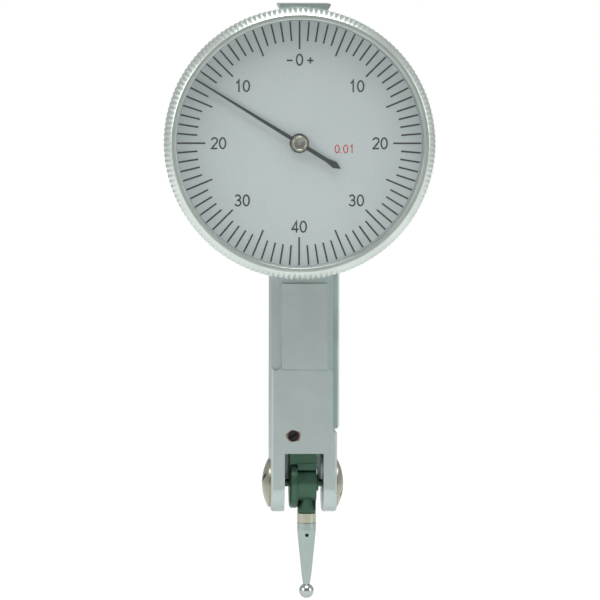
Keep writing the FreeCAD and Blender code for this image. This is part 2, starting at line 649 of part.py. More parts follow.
def body_housing():
    """Bar, rails and round case in one piece, hollowed for the movement."""
    bar = drilled(bar_blank(), rail_reliefs())
    solid = fused([bar, top_rail(), front_rail(), side_rail(), case_blank()])
    pocket = turned_on_dial_axis([(FLOOR_Y, 0), (FLOOR_Y, CASE_POCKET_RADIUS),
                                  (RIM_Y - CUT_PAST, CASE_POCKET_RADIUS), (RIM_Y - CUT_PAST, 0)])
    cutters = [pocket] + movement_hollows() + clevis_cuts()
    cutters.append(cover_outline(COVER_FIT))
    cutters += cover_screw_holes(SEAT_FIT)
    cutters.append(rod(Y_AXIS, Vector(0, FLOOR_Y - CUT_PAST, 0), CASE_FLOOR + 2 * CUT_PAST,
                       FLOOR_HOLE_RADIUS))
    cutters.append(rod(Y_AXIS, bridge_screw_place(FLOOR_Y - CUT_PAST), CASE_FLOOR + 2 * CUT_PAST,
                       SMALL_SCREW_RADIUS + SEAT_FIT))
    for place in plate_screw_places(FLOOR_Y - CUT_PAST):
        cutters.append(rod(Y_AXIS, place, CUT_PAST + CASE_FLOOR - COVER_FIT,
                           SMALL_SCREW_RADIUS + SEAT_FIT))
    cutters.append(rod(Y_AXIS, set_screw_axis_point(FRONT_Y - CUT_PAST), FRONT_WALL + 2 * CUT_PAST,
                       SET_SCREW_RADIUS + SEAT_FIT))
    across = BODY_WIDTH + 2 * CUT_PAST
    cutters.append(rod(X_AXIS, Vector(BODY_LEFT - CUT_PAST, PIVOT_Y, PIVOT_Z), across,
                       PIVOT_SHANK_RADIUS + SEAT_FIT))
    jewel_seat = JEWEL_RADIUS + SEAT_FIT
    cutters.append(rod(X_AXIS, Vector(ROOM_LEFT - JEWEL_THICKNESS, PIVOT_Y, 0),
                       HEAD_ROOM_WIDTH + 2 * JEWEL_THICKNESS, jewel_seat))
    for cutter in cutters:
        solid = solid.cut(cutter)
    return solid.removeSplitter()


def rear_cover():
    """Plate that closes the movement from the rear."""
    return drilled(cover_outline(0.0), cover_screw_holes(SEAT_FIT))


def rear_cover_screws():
    """Countersunk slotted screws, flush with the cover."""
    screws = []
    for place in cover_screw_places():
        profile = [
            (0, 0),
            (0, COVER_HEAD_RADIUS),
            (-SEAT_FIT, COVER_HEAD_RADIUS),
            (-COVER_HEAD_DEPTH, COVER_SHANK_RADIUS),
            (-COVER_SCREW_LENGTH, COVER_SHANK_RADIUS),
            (-COVER_SCREW_LENGTH, 0),
        ]
        screw = turned(Y_AXIS, X_AXIS, place, profile)
        screws.append(slotted(screw, Y_AXIS, 35.0 * len(screws), place, SMALL_SLOT_WIDTH,
                              COVER_HEAD_DEPTH / 2, COVER_HEAD_RADIUS * 2))
    return as_group(screws)


# ---- bezel group ---------------------------------------------------------------------------------
def bezel_ring():
    """Knurled ring that turns on the case and carries the dial and crystal."""
    groove = WIRE_THICKNESS / 2 + WIRE_GROOVE_CLEARANCE
    groove_top = BEZEL_BORE_RADIUS + BEZEL_GROOVE_DEPTH
    profile = [
        (BEZEL_REAR_Y, BEZEL_BORE_RADIUS),
        (BEZEL_REAR_Y, BEZEL_RADIUS - BEZEL_REAR_CHAMFER),
        (BEZEL_REAR_Y - BEZEL_REAR_CHAMFER, BEZEL_RADIUS + SEAT_FIT),
        (BEZEL_FRONT_Y + BEZEL_FRONT_CHAMFER, BEZEL_RADIUS + SEAT_FIT),
        (BEZEL_FRONT_Y, BEZEL_RADIUS - BEZEL_FRONT_CHAMFER),
        (BEZEL_FRONT_Y, LIP_INNER_RADIUS),
        (CRYSTAL_Y, LIP_INNER_RADIUS),
        (CRYSTAL_Y, BEZEL_BORE_RADIUS),
        (DIAL_REAR_Y, BEZEL_BORE_RADIUS),
        (DIAL_REAR_Y, groove_top),
        (RETAINER_REAR_Y, groove_top),
        (RETAINER_REAR_Y, BEZEL_BORE_RADIUS),
        (WIRE_Y - groove, BEZEL_BORE_RADIUS),
        (WIRE_Y - groove, groove_top),
        (WIRE_Y + groove, groove_top),
        (WIRE_Y + groove, BEZEL_BORE_RADIUS),
    ]
    ring = turned_on_dial_axis(profile)
    return ring.common(knurled_bar())


def knurled_bar():
    """Long bar with the V serrations of the bezel's edge."""
    points = []
    for index in range(2 * KNURL_TEETH):
        turn = math.pi * index / KNURL_TEETH
        radius = BEZEL_RADIUS - KNURL_DEPTH * (index % 2)
        points.append(Vector(radius * math.sin(turn), BEZEL_REAR_Y + CUT_PAST, radius * math.cos(turn)))
    return prism(points, Vector(0, BEZEL_FRONT_Y - BEZEL_REAR_Y - 2 * CUT_PAST, 0))


def opened(ring, gap_deg):
    """Cut a gap at the bottom of a ring about the hand's axis."""
    box = ring.BoundBox
    half = math.radians(gap_deg / 2)
    reach = BEZEL_RADIUS / math.cos(half)
    wedge = [
        Vector(0, box.YMax + CUT_PAST, 0),
        Vector(reach * math.sin(half), box.YMax + CUT_PAST, -reach * math.cos(half)),
        Vector(-reach * math.sin(half), box.YMax + CUT_PAST, -reach * math.cos(half)),
    ]
    return ring.cut(prism(wedge, Vector(0, -box.YLength - 2 * CUT_PAST, 0)))


def bezel_spring_wire():
    """Open ring of square wire that holds the bezel on the case and gives it friction."""
    half = WIRE_THICKNESS / 2
    ring = turned_on_dial_axis(tube_profile(WIRE_Y - half, WIRE_Y + half, WIRE_INNER_RADIUS,
                                            WIRE_OUTER_RADIUS))
    return opened(ring, WIRE_GAP_DEG)


def crystal():
    """Flat window, its front edge broken."""
    radius = BEZEL_BORE_RADIUS - SEAT_FIT
    edge = BEZEL_BORE_RADIUS - LIP_INNER_RADIUS
    profile = [
        (CRYSTAL_REAR_Y, 0),
        (CRYSTAL_REAR_Y, radius),
        (CRYSTAL_Y + edge / 2, radius),
        (CRYSTAL_Y, radius - edge / 2),
        (CRYSTAL_Y, 0),
    ]
    return turned_on_dial_axis(profile)


def crystal_spacer_ring():
    """Ring between dial and crystal; its bore narrows towards the dial."""
    profile = [
        (DIAL_Y, DIAL_VIEW_RADIUS),
        (DIAL_Y, BEZEL_BORE_RADIUS - SEAT_FIT),
        (CRYSTAL_REAR_Y, BEZEL_BORE_RADIUS - SEAT_FIT),
        (CRYSTAL_REAR_Y, SPACER_FRONT_RADIUS),
    ]
    return turned_on_dial_axis(profile)


def dial_plate():
    """Dial disc, pinched between the spacer ring and the retaining ring."""
    return turned_on_dial_axis(tube_profile(DIAL_REAR_Y, DIAL_Y, DIAL_HOLE_RADIUS,
                                            BEZEL_BORE_RADIUS - SEAT_FIT))


def dial_retaining_ring():
    """Snap ring behind the dial, sprung into the bezel's groove."""
    ring = turned_on_dial_axis(tube_profile(RETAINER_REAR_Y, DIAL_REAR_Y, RETAINER_INNER_RADIUS,
                                            BEZEL_BORE_RADIUS + BEZEL_GROOVE_DEPTH - SEAT_FIT))
    return opened(ring, RETAINER_GAP_DEG)


# ---- fixed pieces of the movement ----------------------------------------------------------------
def cheese_screw(axis, seat, head_radius, head_height, radius, length, angle):
    """Slotted cheese-head screw; the head stands up from the seat along the axis."""
    head = rod(axis, seat, head_height, head_radius)
    shank = rod(axis * -1, seat, length, radius)
    screw = fused([head, shank])
    return slotted(screw, axis, angle, seat + axis * head_height, SMALL_SLOT_WIDTH,
                   head_height / 2, head_radius * 2)


def movement_plate():
    """Brass plate under the dial that carries the front bearing of the centre arbor."""
    plate = turned_on_dial_axis(tube_profile(FLOOR_Y, PLATE_Y, CENTRE_ARBOR_RADIUS + RUNNING_FIT,
                                             PLATE_RADIUS))
    jewel = turned_on_dial_axis(tube_profile(PLATE_Y - CUT_PAST, PLATE_Y + JEWEL_THICKNESS, 0.0,
                                             JEWEL_RADIUS + SEAT_FIT))
    cutters = [jewel]
    for place in plate_screw_places(PLATE_Y - CUT_PAST):
        cutters.append(rod(Y_AXIS, place, PLATE_THICKNESS + 2 * CUT_PAST, SMALL_SCREW_RADIUS + SEAT_FIT))
    cutters.append(rod(Y_AXIS, bridge_screw_place(PLATE_Y - CUT_PAST), PLATE_THICKNESS + 2 * CUT_PAST,
                       SMALL_SCREW_RADIUS + SEAT_FIT))
    cutters.append(rod(Y_AXIS, stud_place(PLATE_Y - CUT_PAST), PLATE_THICKNESS + 2 * CUT_PAST,
                       STUD_RADIUS / 2 + SEAT_FIT))
    return drilled(plate, cutters)


def movement_plate_screws():
    """Screws that hold the movement plate to the case floor."""
    length = PLATE_THICKNESS + CASE_FLOOR / 2
    screws = []
    for index, place in enumerate(plate_screw_places(PLATE_Y)):
        screws.append(cheese_screw(Y_AXIS * -1, place, SMALL_SCREW_HEAD_RADIUS, SMALL_SCREW_HEAD_HEIGHT,
                                   SMALL_SCREW_RADIUS, length, 50.0 * index))
    return as_group(screws)


def centre_bridge():
    """Cock behind the case floor that carries the rear bearing of the centre arbor."""
    x_range = (ROOM_LEFT + ARBOR_END_SHAKE, CROWN_TOOTH_TIP_X - BRIDGE_TO_CROWN)
    arm = block(x_range, (BRIDGE_REAR_Y - BRIDGE_THICKNESS, BRIDGE_REAR_Y),
                (-BRIDGE_HALF_WIDTH, BRIDGE_FOOT_END))
    foot = block(x_range, (CASE_BACK_Y, BRIDGE_REAR_Y), (BRIDGE_FOOT_START, BRIDGE_FOOT_END))
    bridge = fused([arm, foot])
    seat = rod(Y_AXIS, Vector(0, BRIDGE_REAR_Y - JEWEL_THICKNESS, 0), JEWEL_THICKNESS + CUT_PAST,
               JEWEL_RADIUS + SEAT_FIT)
    clear = rod(Y_AXIS, Vector(0, BRIDGE_REAR_Y - BRIDGE_THICKNESS - CUT_PAST, 0),
                BRIDGE_THICKNESS + 2 * CUT_PAST, CENTRE_ARBOR_RADIUS + RUNNING_FIT)
    screw = rod(Y_AXIS, bridge_screw_place(CASE_BACK_Y - CUT_PAST),
                BRIDGE_REAR_Y - CASE_BACK_Y + 2 * CUT_PAST, SMALL_SCREW_RADIUS + SEAT_FIT)
    return drilled(bridge, [seat, clear, screw])


def centre_bridge_screw():
    """Screw through the bridge's foot into the case floor and movement plate."""
    length = BRIDGE_REAR_Y - PLATE_Y - SEAT_FIT
    return cheese_screw(Y_AXIS, bridge_screw_place(BRIDGE_REAR_Y), SMALL_SCREW_HEAD_RADIUS,
                        SMALL_SCREW_HEAD_HEIGHT, SMALL_SCREW_RADIUS, length, 20.0)


def centre_jewels():
    """Front and rear bearing jewels of the centre arbor."""
    front = turned_on_dial_axis(tube_profile(PLATE_Y, PLATE_Y + JEWEL_THICKNESS,
                                             CENTRE_ARBOR_RADIUS + RUNNING_FIT, JEWEL_RADIUS))
    rear = turned_on_dial_axis(tube_profile(BRIDGE_REAR_Y - JEWEL_THICKNESS, BRIDGE_REAR_Y,
                                            PIVOT_TIP_RADIUS + RUNNING_FIT, JEWEL_RADIUS))
    return as_group([front, rear])


def crown_jewels():
    """Bearing jewels of the crown arbor, one in each side wall."""
    bore = PIVOT_TIP_RADIUS + RUNNING_FIT
    left = turned_on_cross_axis(tube_profile(ROOM_LEFT - JEWEL_THICKNESS, ROOM_LEFT, bore, JEWEL_RADIUS))
    right = turned_on_cross_axis(tube_profile(ROOM_RIGHT, ROOM_RIGHT + JEWEL_THICKNESS, bore,
                                              JEWEL_RADIUS))
    return as_group([left, right])


def hairspring_level():
    """Rear and front planes of the hairspring."""
    rear = PLATE_Y - COLLET_TO_PLATE - (COLLET_HEIGHT - HAIRSPRING_HEIGHT) / 2
    return rear, rear - HAIRSPRING_HEIGHT


def spiral_edge(start_radius):
    """Half circles that grow by half a pitch each; returns the edges and the last radius."""
    edges = []
    radius = start_radius
    centre = 0.0
    rear = hairspring_level()[0]
    for half in range(2 * HAIRSPRING_TURNS):
        side = 1 if half % 2 == 0 else -1
        begin = Vector(centre + side * radius, rear, 0)
        top = Vector(centre, rear, side * radius)
        end = Vector(centre - side * radius, rear, 0)
        edges.append(Part.Arc(begin, top, end).toShape())
        step = HAIRSPRING_PITCH / 2
        centre += side * step / 2
        radius += step / 2
    return edges


def hairspring():
    """Flat spiral that takes up the backlash of the train."""
    inner_radius = COLLET_RADIUS + 2 * RUNNING_FIT
    inner = spiral_edge(inner_radius)
    outer = spiral_edge(inner_radius + HAIRSPRING_STRIP)
    ends = []
    for index in (0, -1):
        inner_end = inner[index].Vertexes[index].Point
        outer_end = outer[index].Vertexes[index].Point
        ends.append(Part.LineSegment(inner_end, outer_end).toShape())
    outline = Part.Wire(Part.sortEdges(inner + outer + ends)[0])
    rear, front = hairspring_level()
    return Part.Face(outline).extrude(Vector(0, front - rear, 0))


def hairspring_outer_radius():
    """Middle of the strip where the spiral ends, from the hand's axis."""
    last = spiral_edge(COLLET_RADIUS + 2 * RUNNING_FIT)[-1].Vertexes[-1].Point
    return abs(last.x) + HAIRSPRING_STRIP


def stud_place(y):
    """Centre of the hairspring stud, just outside the spiral's end."""
    return Vector(hairspring_outer_radius() + STUD_RADIUS + SEAT_FIT, y, 0)


def hairspring_stud():
    """Post on the movement plate that holds the hairspring's outer end."""
    front = hairspring_level()[1]
    head = rod(Y_AXIS * -1, stud_place(PLATE_Y), PLATE_Y - front, STUD_RADIUS)
    tail = rod(Y_AXIS, stud_place(PLATE_Y), PLATE_THICKNESS / 2, STUD_RADIUS / 2)
    return fused([head, tail])


def pivot_screw(side, slot_angle):
    """Domed slotted screw whose shank is the lever's bearing; side is -1 left, 1 right."""
    ear_face = STEM_OFFSET + side * BODY_WIDTH / 2
    ear_inside = STEM_OFFSET + side * SLOT_WIDTH / 2
    start = Vector(ear_face, PIVOT_Y, PIVOT_Z)
    out = X_AXIS * side
    rise = PIVOT_HEAD_HEIGHT - PIVOT_HEAD_EDGE
    bend = (PIVOT_HEAD_RADIUS ** 2 + rise ** 2) / (2 * rise)
    half = math.asin(PIVOT_HEAD_RADIUS / bend) / 2
    rim = start + out * PIVOT_HEAD_EDGE + Z_AXIS * PIVOT_HEAD_RADIUS
    mid = start + out * (PIVOT_HEAD_HEIGHT - bend + bend * math.cos(half)) + Z_AXIS * (bend * math.sin(half))
    peak = start + out * PIVOT_HEAD_HEIGHT
    edges = [
        Part.LineSegment(start, start + Z_AXIS * PIVOT_HEAD_RADIUS).toShape(),
        Part.LineSegment(start + Z_AXIS * PIVOT_HEAD_RADIUS, rim).toShape(),
        Part.Arc(rim, mid, peak).toShape(),
        Part.LineSegment(peak, start).toShape(),
    ]
    head = Part.Face(Part.Wire(edges)).revolve(start, X_AXIS, 360)
    head = slotted(head, out, slot_angle, peak, PIVOT_SLOT_WIDTH, PIVOT_SLOT_DEPTH,
                   PIVOT_HEAD_RADIUS * 2)
    length = abs(ear_face - ear_inside) - COVER_FIT
    shank = rod(out * -1, start, length, PIVOT_SHANK_RADIUS)
    bearing = rod(out * -1, Vector(ear_inside + side * shaft_reach(), PIVOT_Y, PIVOT_Z),
                  shaft_reach() + CUT_PAST, SHAFT_RADIUS + RUNNING_FIT)
    return fused([head, shank]).cut(bearing)


def shaft_reach():
    """How deep the bearing hole goes into a pivot screw from the ear's inner face."""
    return (BODY_WIDTH - SLOT_WIDTH) / 4


def pivot_screw_left():
    return pivot_screw(-1, 90.0 + PIVOT_SLOT_LEFT_DEG)


def pivot_screw_right():
    return pivot_screw(1, 90.0 + PIVOT_SLOT_RIGHT_DEG)


def set_screw():
    """Slotted grub screw in the front wall, a little below the surface."""
    top = set_screw_axis_point(FRONT_Y + SET_SCREW_RECESS)
    screw = rod(Y_AXIS, top, SET_SCREW_LENGTH, SET_SCREW_RADIUS)
    return slotted(screw, Y_AXIS * -1, 30.0, top, SMALL_SLOT_WIDTH, SET_SCREW_LENGTH / 3,
                   SET_SCREW_RADIUS * 2)


# ---- hand group -----------------------------------------------------------------------------------
def centre_arbor():
    """Arbor of the hand with its pinion cut in one piece."""
    pinion_half = CENTRE_PINION_FACE / 2
    shoulder = BRIDGE_REAR_Y - BRIDGE_THICKNESS
    profile = [
        (BRIDGE_REAR_Y + ARBOR_END_SHAKE, 0),
        (BRIDGE_REAR_Y + ARBOR_END_SHAKE, PIVOT_TIP_RADIUS),
        (BRIDGE_REAR_Y - JEWEL_THICKNESS - ARBOR_END_SHAKE, PIVOT_TIP_RADIUS),
        (BRIDGE_REAR_Y - JEWEL_THICKNESS - ARBOR_END_SHAKE, CENTRE_ARBOR_RADIUS),
        (shoulder - ARBOR_END_SHAKE, CENTRE_ARBOR_RADIUS),
        (shoulder - ARBOR_END_SHAKE, ARBOR_RADIUS),
        (FLOOR_Y + COVER_FIT, ARBOR_RADIUS),
        (FLOOR_Y + COVER_FIT, CENTRE_ARBOR_RADIUS),
        (HAND_Y + HAND_ABOVE_DIAL / 2, CENTRE_ARBOR_RADIUS),
        (HAND_Y + HAND_ABOVE_DIAL / 2, HUB_SEAT_RADIUS),
        (HUB_Y - HUB_HEIGHT / 2, HUB_SEAT_RADIUS),
        (HUB_Y - HUB_HEIGHT / 2, 0),
    ]
    shaft = turned_on_dial_axis(profile)
    gear = pinion(Y_AXIS * -1, X_AXIS, Z_AXIS, Vector(0, CROWN_MESH_Y + pinion_half, 0),
                  CROWN_MODULE, CENTRE_PINION_TEETH, CENTRE_PINION_FACE)
    return fused([shaft, gear])


def hand_point(radius, offset, y):
    """Point at a radius along the hand and an offset to its right."""
    along = Vector(math.sin(HAND_ANGLE), 0, math.cos(HAND_ANGLE))
    across = Vector(math.cos(HAND_ANGLE), 0, -math.sin(HAND_ANGLE))
    return along * radius + across * offset + Y_AXIS * y


def hand():
    """Flat pointer with a spade-shaped counterweight."""
    outline = [
        (HAND_TIP_RADIUS, HAND_TIP_WIDTH / 2),
        (0, HAND_ROOT_WIDTH / 2),
        (-HAND_TAIL_NECK_RADIUS, HAND_ROOT_WIDTH / 2),
        (-HAND_TAIL_WIDE_RADIUS, HAND_TAIL_WIDTH / 2),
        (-HAND_TAIL_LENGTH, 0),
        (-HAND_TAIL_WIDE_RADIUS, -HAND_TAIL_WIDTH / 2),
        (-HAND_TAIL_NECK_RADIUS, -HAND_ROOT_WIDTH / 2),
        (0, -HAND_ROOT_WIDTH / 2),
        (HAND_TIP_RADIUS, -HAND_TIP_WIDTH / 2),
    ]
    blade = prism([hand_point(radius, offset, HAND_Y) for radius, offset in outline],
                  Vector(0, -HAND_THICKNESS, 0))
    boss = turned_on_dial_axis([(HAND_Y, 0), (HAND_Y, HUB_RADIUS * 0.8), (HUB_Y, HUB_RADIUS * 0.8),
                                (HUB_Y, 0)])
    bore = rod(Y_AXIS, Vector(0, HUB_Y - CUT_PAST, 0), HAND_THICKNESS + 2 * CUT_PAST,
               HUB_SEAT_RADIUS + SEAT_FIT)
    return fused([blade, boss]).cut(bore)


def hand_hub():
    """Turned cap that the hand is riveted to."""
    profile = [
        (HUB_Y, HUB_SEAT_RADIUS + SEAT_FIT),
        (HUB_Y, HUB_RADIUS),
        (HUB_Y - HUB_HEIGHT + HUB_BEVEL, HUB_RADIUS),
        (HUB_Y - HUB_HEIGHT, HUB_RADIUS - HUB_BEVEL),
        (HUB_Y - HUB_HEIGHT, HUB_SEAT_RADIUS + SEAT_FIT),
    ]
    return turned_on_dial_axis(profile)


def hairspring_collet():
    """Small brass ring on the centre arbor that holds the hairspring's inner end."""
    front = PLATE_Y - COLLET_TO_PLATE
    return turned_on_dial_axis(tube_profile(front, front - COLLET_HEIGHT,
                                            CENTRE_ARBOR_RADIUS + SEAT_FIT, COLLET_RADIUS))


# ---- crown wheel ----------------------------------------------------------------------------------
def crown_wheel():
    """Disc with a ring of face teeth that drive the centre pinion square to its own axis."""
    inner = CROWN_RADIUS - CROWN_FACE / 2
    outer = CROWN_RADIUS + CROWN_FACE / 2
    disc = turned_on_cross_axis(tube_profile(CROWN_TOOTH_ROOT_X, CROWN_DISC_X, ARBOR_RADIUS + SEAT_FIT,
                                             outer))
    hub = turned_on_cross_axis(tube_profile(CROWN_DISC_X - CUT_PAST / 4,
                                            CROWN_DISC_X + CROWN_TO_LEVER_PINION / 2,
                                            ARBOR_RADIUS + SEAT_FIT, CROWN_HUB_RADIUS))
    root_half, tip_half = rack_tooth(CROWN_MODULE)
    sunk = CROWN_TOOTH_ROOT_X + BACKLASH
    teeth = []
    for index in range(CROWN_TEETH):
        outline = [
            Vector(CROWN_TOOTH_TIP_X, PIVOT_Y - inner, -tip_half),
            Vector(CROWN_TOOTH_TIP_X, PIVOT_Y - inner, tip_half),
            Vector(CROWN_TOOTH_ROOT_X, PIVOT_Y - inner, root_half),
            Vector(sunk, PIVOT_Y - inner, root_half),
            Vector(sunk, PIVOT_Y - inner, -root_half),
            Vector(CROWN_TOOTH_ROOT_X, PIVOT_Y - inner, -root_half),
        ]
        tooth = prism(outline, Vector(0, inner - outer + BACKLASH, 0))
        tooth.rotate(Vector(0, PIVOT_Y, 0), X_AXIS, 360.0 * index / CROWN_TEETH)
        teeth.append(tooth)
    return fused([disc, hub] + teeth)


def crown_arbor():
    """Cross arbor with the small pinion that the lever's sector drives."""
    left = ROOM_LEFT + ARBOR_END_SHAKE
    right = ROOM_RIGHT - ARBOR_END_SHAKE
    tip = JEWEL_THICKNESS * 0.9
    profile = [
        (left - tip, 0),
        (left - tip, PIVOT_TIP_RADIUS),
        (left, PIVOT_TIP_RADIUS),
        (left, ARBOR_RADIUS),
        (right, ARBOR_RADIUS),
        (right, PIVOT_TIP_RADIUS),
        (right + tip, PIVOT_TIP_RADIUS),
        (right + tip, 0),
    ]
    shaft = turned_on_cross_axis(profile)
    gear = pinion(X_AXIS, Z_AXIS * -1, Y_AXIS, Vector(LEVER_PINION_X, PIVOT_Y, 0), LEVER_MODULE,
                  LEVER_PINION_TEETH, LEVER_PINION_FACE)
    return fused([shaft, gear])


# ---- lever ------------------------------------------------------------------------------------------
def sector_point(radius, angle):
    """Point on the blade's left face, at a radius and angle from the pivot's upright."""
    return Vector(BLADE_LEFT, PIVOT_Y + radius * math.sin(angle), PIVOT_Z + radius * math.cos(angle))


def sector_blade():
    """Long thin arm with a toothed head that drives the crown arbor."""
    root_half, tip_half = rack_tooth(LEVER_MODULE)
    root = SECTOR_RADIUS - DEDENDUM * LEVER_MODULE
    tip = SECTOR_RADIUS + ADDENDUM * LEVER_MODULE
    tooth_turn = LEVER_MODULE / SECTOR_RADIUS * math.pi
    neck = SECTOR_RADIUS - SECTOR_HEAD_HEIGHT
    head_turn = SECTOR_HALF_WIDTH / SECTOR_RADIUS
    foot = BLOCK_TOP_ABOVE_PIVOT - BLADE_FOOT_OVERLAP
    points = []
    for index in range(-SECTOR_TEETH_EACH_SIDE, SECTOR_TEETH_EACH_SIDE + 1):
        middle = index * tooth_turn
        points.append(sector_point(root, middle - root_half / SECTOR_RADIUS))
        points.append(sector_point(tip, middle - tip_half / SECTOR_RADIUS))
        points.append(sector_point(tip, middle + tip_half / SECTOR_RADIUS))
        points.append(sector_point(root, middle + root_half / SECTOR_RADIUS))
    points.append(sector_point(root, head_turn))
    points.append(sector_point(root - SECTOR_HEAD_HEIGHT / 4, head_turn))
    points.append(sector_point(neck, BLADE_NECK_HALF_WIDTH / SECTOR_RADIUS))
    points.append(sector_point(BLOCK_TOP_ABOVE_PIVOT + BLADE_FOOT_OVERLAP,
                               BLADE_NECK_HALF_WIDTH / BLOCK_TOP_ABOVE_PIVOT))
    low = PIVOT_Z + foot
    points.append(Vector(BLADE_LEFT, PIVOT_Y + BLADE_FOOT_HALF_WIDTH, PIVOT_Z + BLOCK_TOP_ABOVE_PIVOT))
    points.append(Vector(BLADE_LEFT, PIVOT_Y + BLADE_FOOT_HALF_WIDTH, low))
    points.append(Vector(BLADE_LEFT, PIVOT_Y - BLADE_FOOT_HALF_WIDTH, low))
    points.append(Vector(BLADE_LEFT, PIVOT_Y - BLADE_FOOT_HALF_WIDTH, PIVOT_Z + BLOCK_TOP_ABOVE_PIVOT))
    points.append(sector_point(BLOCK_TOP_ABOVE_PIVOT + BLADE_FOOT_OVERLAP,
                               -BLADE_NECK_HALF_WIDTH / BLOCK_TOP_ABOVE_PIVOT))
    points.append(sector_point(neck, -BLADE_NECK_HALF_WIDTH / SECTOR_RADIUS))
    points.append(sector_point(root - SECTOR_HEAD_HEIGHT / 4, -head_turn))
    points.append(sector_point(root, -head_turn))
    blade = prism(points, Vector(BLADE_THICKNESS, 0, 0))
    hole = rod(X_AXIS, Vector(BLADE_LEFT - CUT_PAST, PIVOT_Y, PIVOT_Z + root - SECTOR_HEAD_HEIGHT / 2),
               BLADE_THICKNESS + 2 * CUT_PAST, BLADE_HOLE_RADIUS)
    return drilled(blade, [hole] + rivet_holes())


def rivet_places(x):
    """Centres of the two rivets that hold the blade on the block."""
    low = PIVOT_Z + BLOCK_TOP_ABOVE_PIVOT - BLADE_FOOT_OVERLAP
    return [Vector(x, PIVOT_Y, low + BLADE_FOOT_OVERLAP * share) for share in (0.25, 0.75)]


def rivet_holes():
    """Holes for the rivets through the blade and into the block."""
    return [rod(X_AXIS, place, BLADE_THICKNESS + 3 * CUT_PAST, SMALL_SCREW_RADIUS + SEAT_FIT)
            for place in rivet_places(BLADE_LEFT - CUT_PAST)]


def sector_rivets():
    """Two round-headed rivets, their heads on the blade's right face."""
    rivets = []
    for place in rivet_places(BLADE_RIGHT):
        shank = rod(X_AXIS * -1, place, BLADE_THICKNESS + CUT_PAST / 2, SMALL_SCREW_RADIUS)
        head = turned(X_AXIS, Z_AXIS, place, [(0, 0), (0, SMALL_SCREW_HEAD_RADIUS * 0.8),
                                              (SMALL_SLOT_WIDTH / 2, SMALL_SCREW_HEAD_RADIUS * 0.7),
                                              (SMALL_SLOT_WIDTH, SMALL_SCREW_RADIUS),
                                              (SMALL_SLOT_WIDTH, 0)])
        rivets.append(fused([head, shank]))
    return as_group(rivets)


def lever_block():
    """Blackened block that rocks on the pivot shaft and carries the blade."""
    y_range = (PIVOT_Y - BLOCK_HALF_DEPTH, PIVOT_Y + BLOCK_HALF_DEPTH)
    top = block((BLOCK_LEFT, BLOCK_RIGHT), y_range, (BLOCK_BOTTOM, BLOCK_TOP))
    corners = [edge for edge in top.Edges
               if edge.BoundBox.XLength > BLOCK_WIDTH / 2 and edge.BoundBox.ZMin > BLOCK_BOTTOM + BLOCK_CORNER]
    top = top.makeChamfer(BLOCK_CORNER, corners)
    blade_room = block((BLADE_LEFT - SEAT_FIT, BLOCK_RIGHT + CUT_PAST),
                       (PIVOT_Y - BLADE_FOOT_HALF_WIDTH - SEAT_FIT, PIVOT_Y + BLADE_FOOT_HALF_WIDTH + SEAT_FIT),
                       (BLOCK_TOP - BLADE_FOOT_OVERLAP - SEAT_FIT, BLOCK_TOP + CUT_PAST))
    strap = block((BLOCK_LEFT, CHEEK_RIGHT), y_range, (PIVOT_Z, BLOCK_BOTTOM + BLOCK_CORNER))
    cheek = rod(X_AXIS, Vector(BLOCK_LEFT, PIVOT_Y, PIVOT_Z), CHEEK_THICKNESS, CHEEK_RADIUS)
    rim = [edge for edge in cheek.Edges if edge.Closed and abs(edge.BoundBox.XMin - BLOCK_LEFT) < SEAT_FIT]
    cheek = cheek.makeChamfer(RAIL_CHAMFER, rim)
    solid = fused([top, strap, cheek])
    shaft = rod(X_AXIS, Vector(BLOCK_LEFT - CUT_PAST, PIVOT_Y, PIVOT_Z), BLOCK_WIDTH + 2 * CUT_PAST,
                SHAFT_RADIUS + SEAT_FIT)
    return drilled(solid, [blade_room, shaft] + rivet_holes())


def pivot_shaft():
    """Shaft pressed through the lever's cheek, its ends in the two pivot screws."""
    reach = shaft_reach() - SHAFT_END_GAP
    start = SLOT_LEFT - reach
    return rod(X_AXIS, Vector(start, PIVOT_Y, PIVOT_Z), SLOT_WIDTH + 2 * reach, SHAFT_RADIUS)


def friction_washer():
    """Dished washer that presses the stylus holder against its collar."""
    bore = SHAFT_RADIUS + RUNNING_FIT
    dish = WASHER_GAP - WASHER_THICKNESS - 2 * SEAT_FIT
    start = CHEEK_RIGHT + SEAT_FIT
    profile = [
        (start, bore),
        (start + WASHER_THICKNESS, bore),
        (start + WASHER_THICKNESS + dish, WASHER_RADIUS),
        (start + dish, WASHER_RADIUS),
    ]
    return turned_on_cross_axis(profile, PIVOT_DROP)


def shaft_collar():
    """Collar that keeps the stylus holder on the shaft."""
    start = HOLDER_RIGHT + COLLAR_GAP
    return turned_on_cross_axis(tube_profile(start, start + COLLAR_THICKNESS, SHAFT_RADIUS + SEAT_FIT,
                                             COLLAR_RADIUS), PIVOT_DROP)


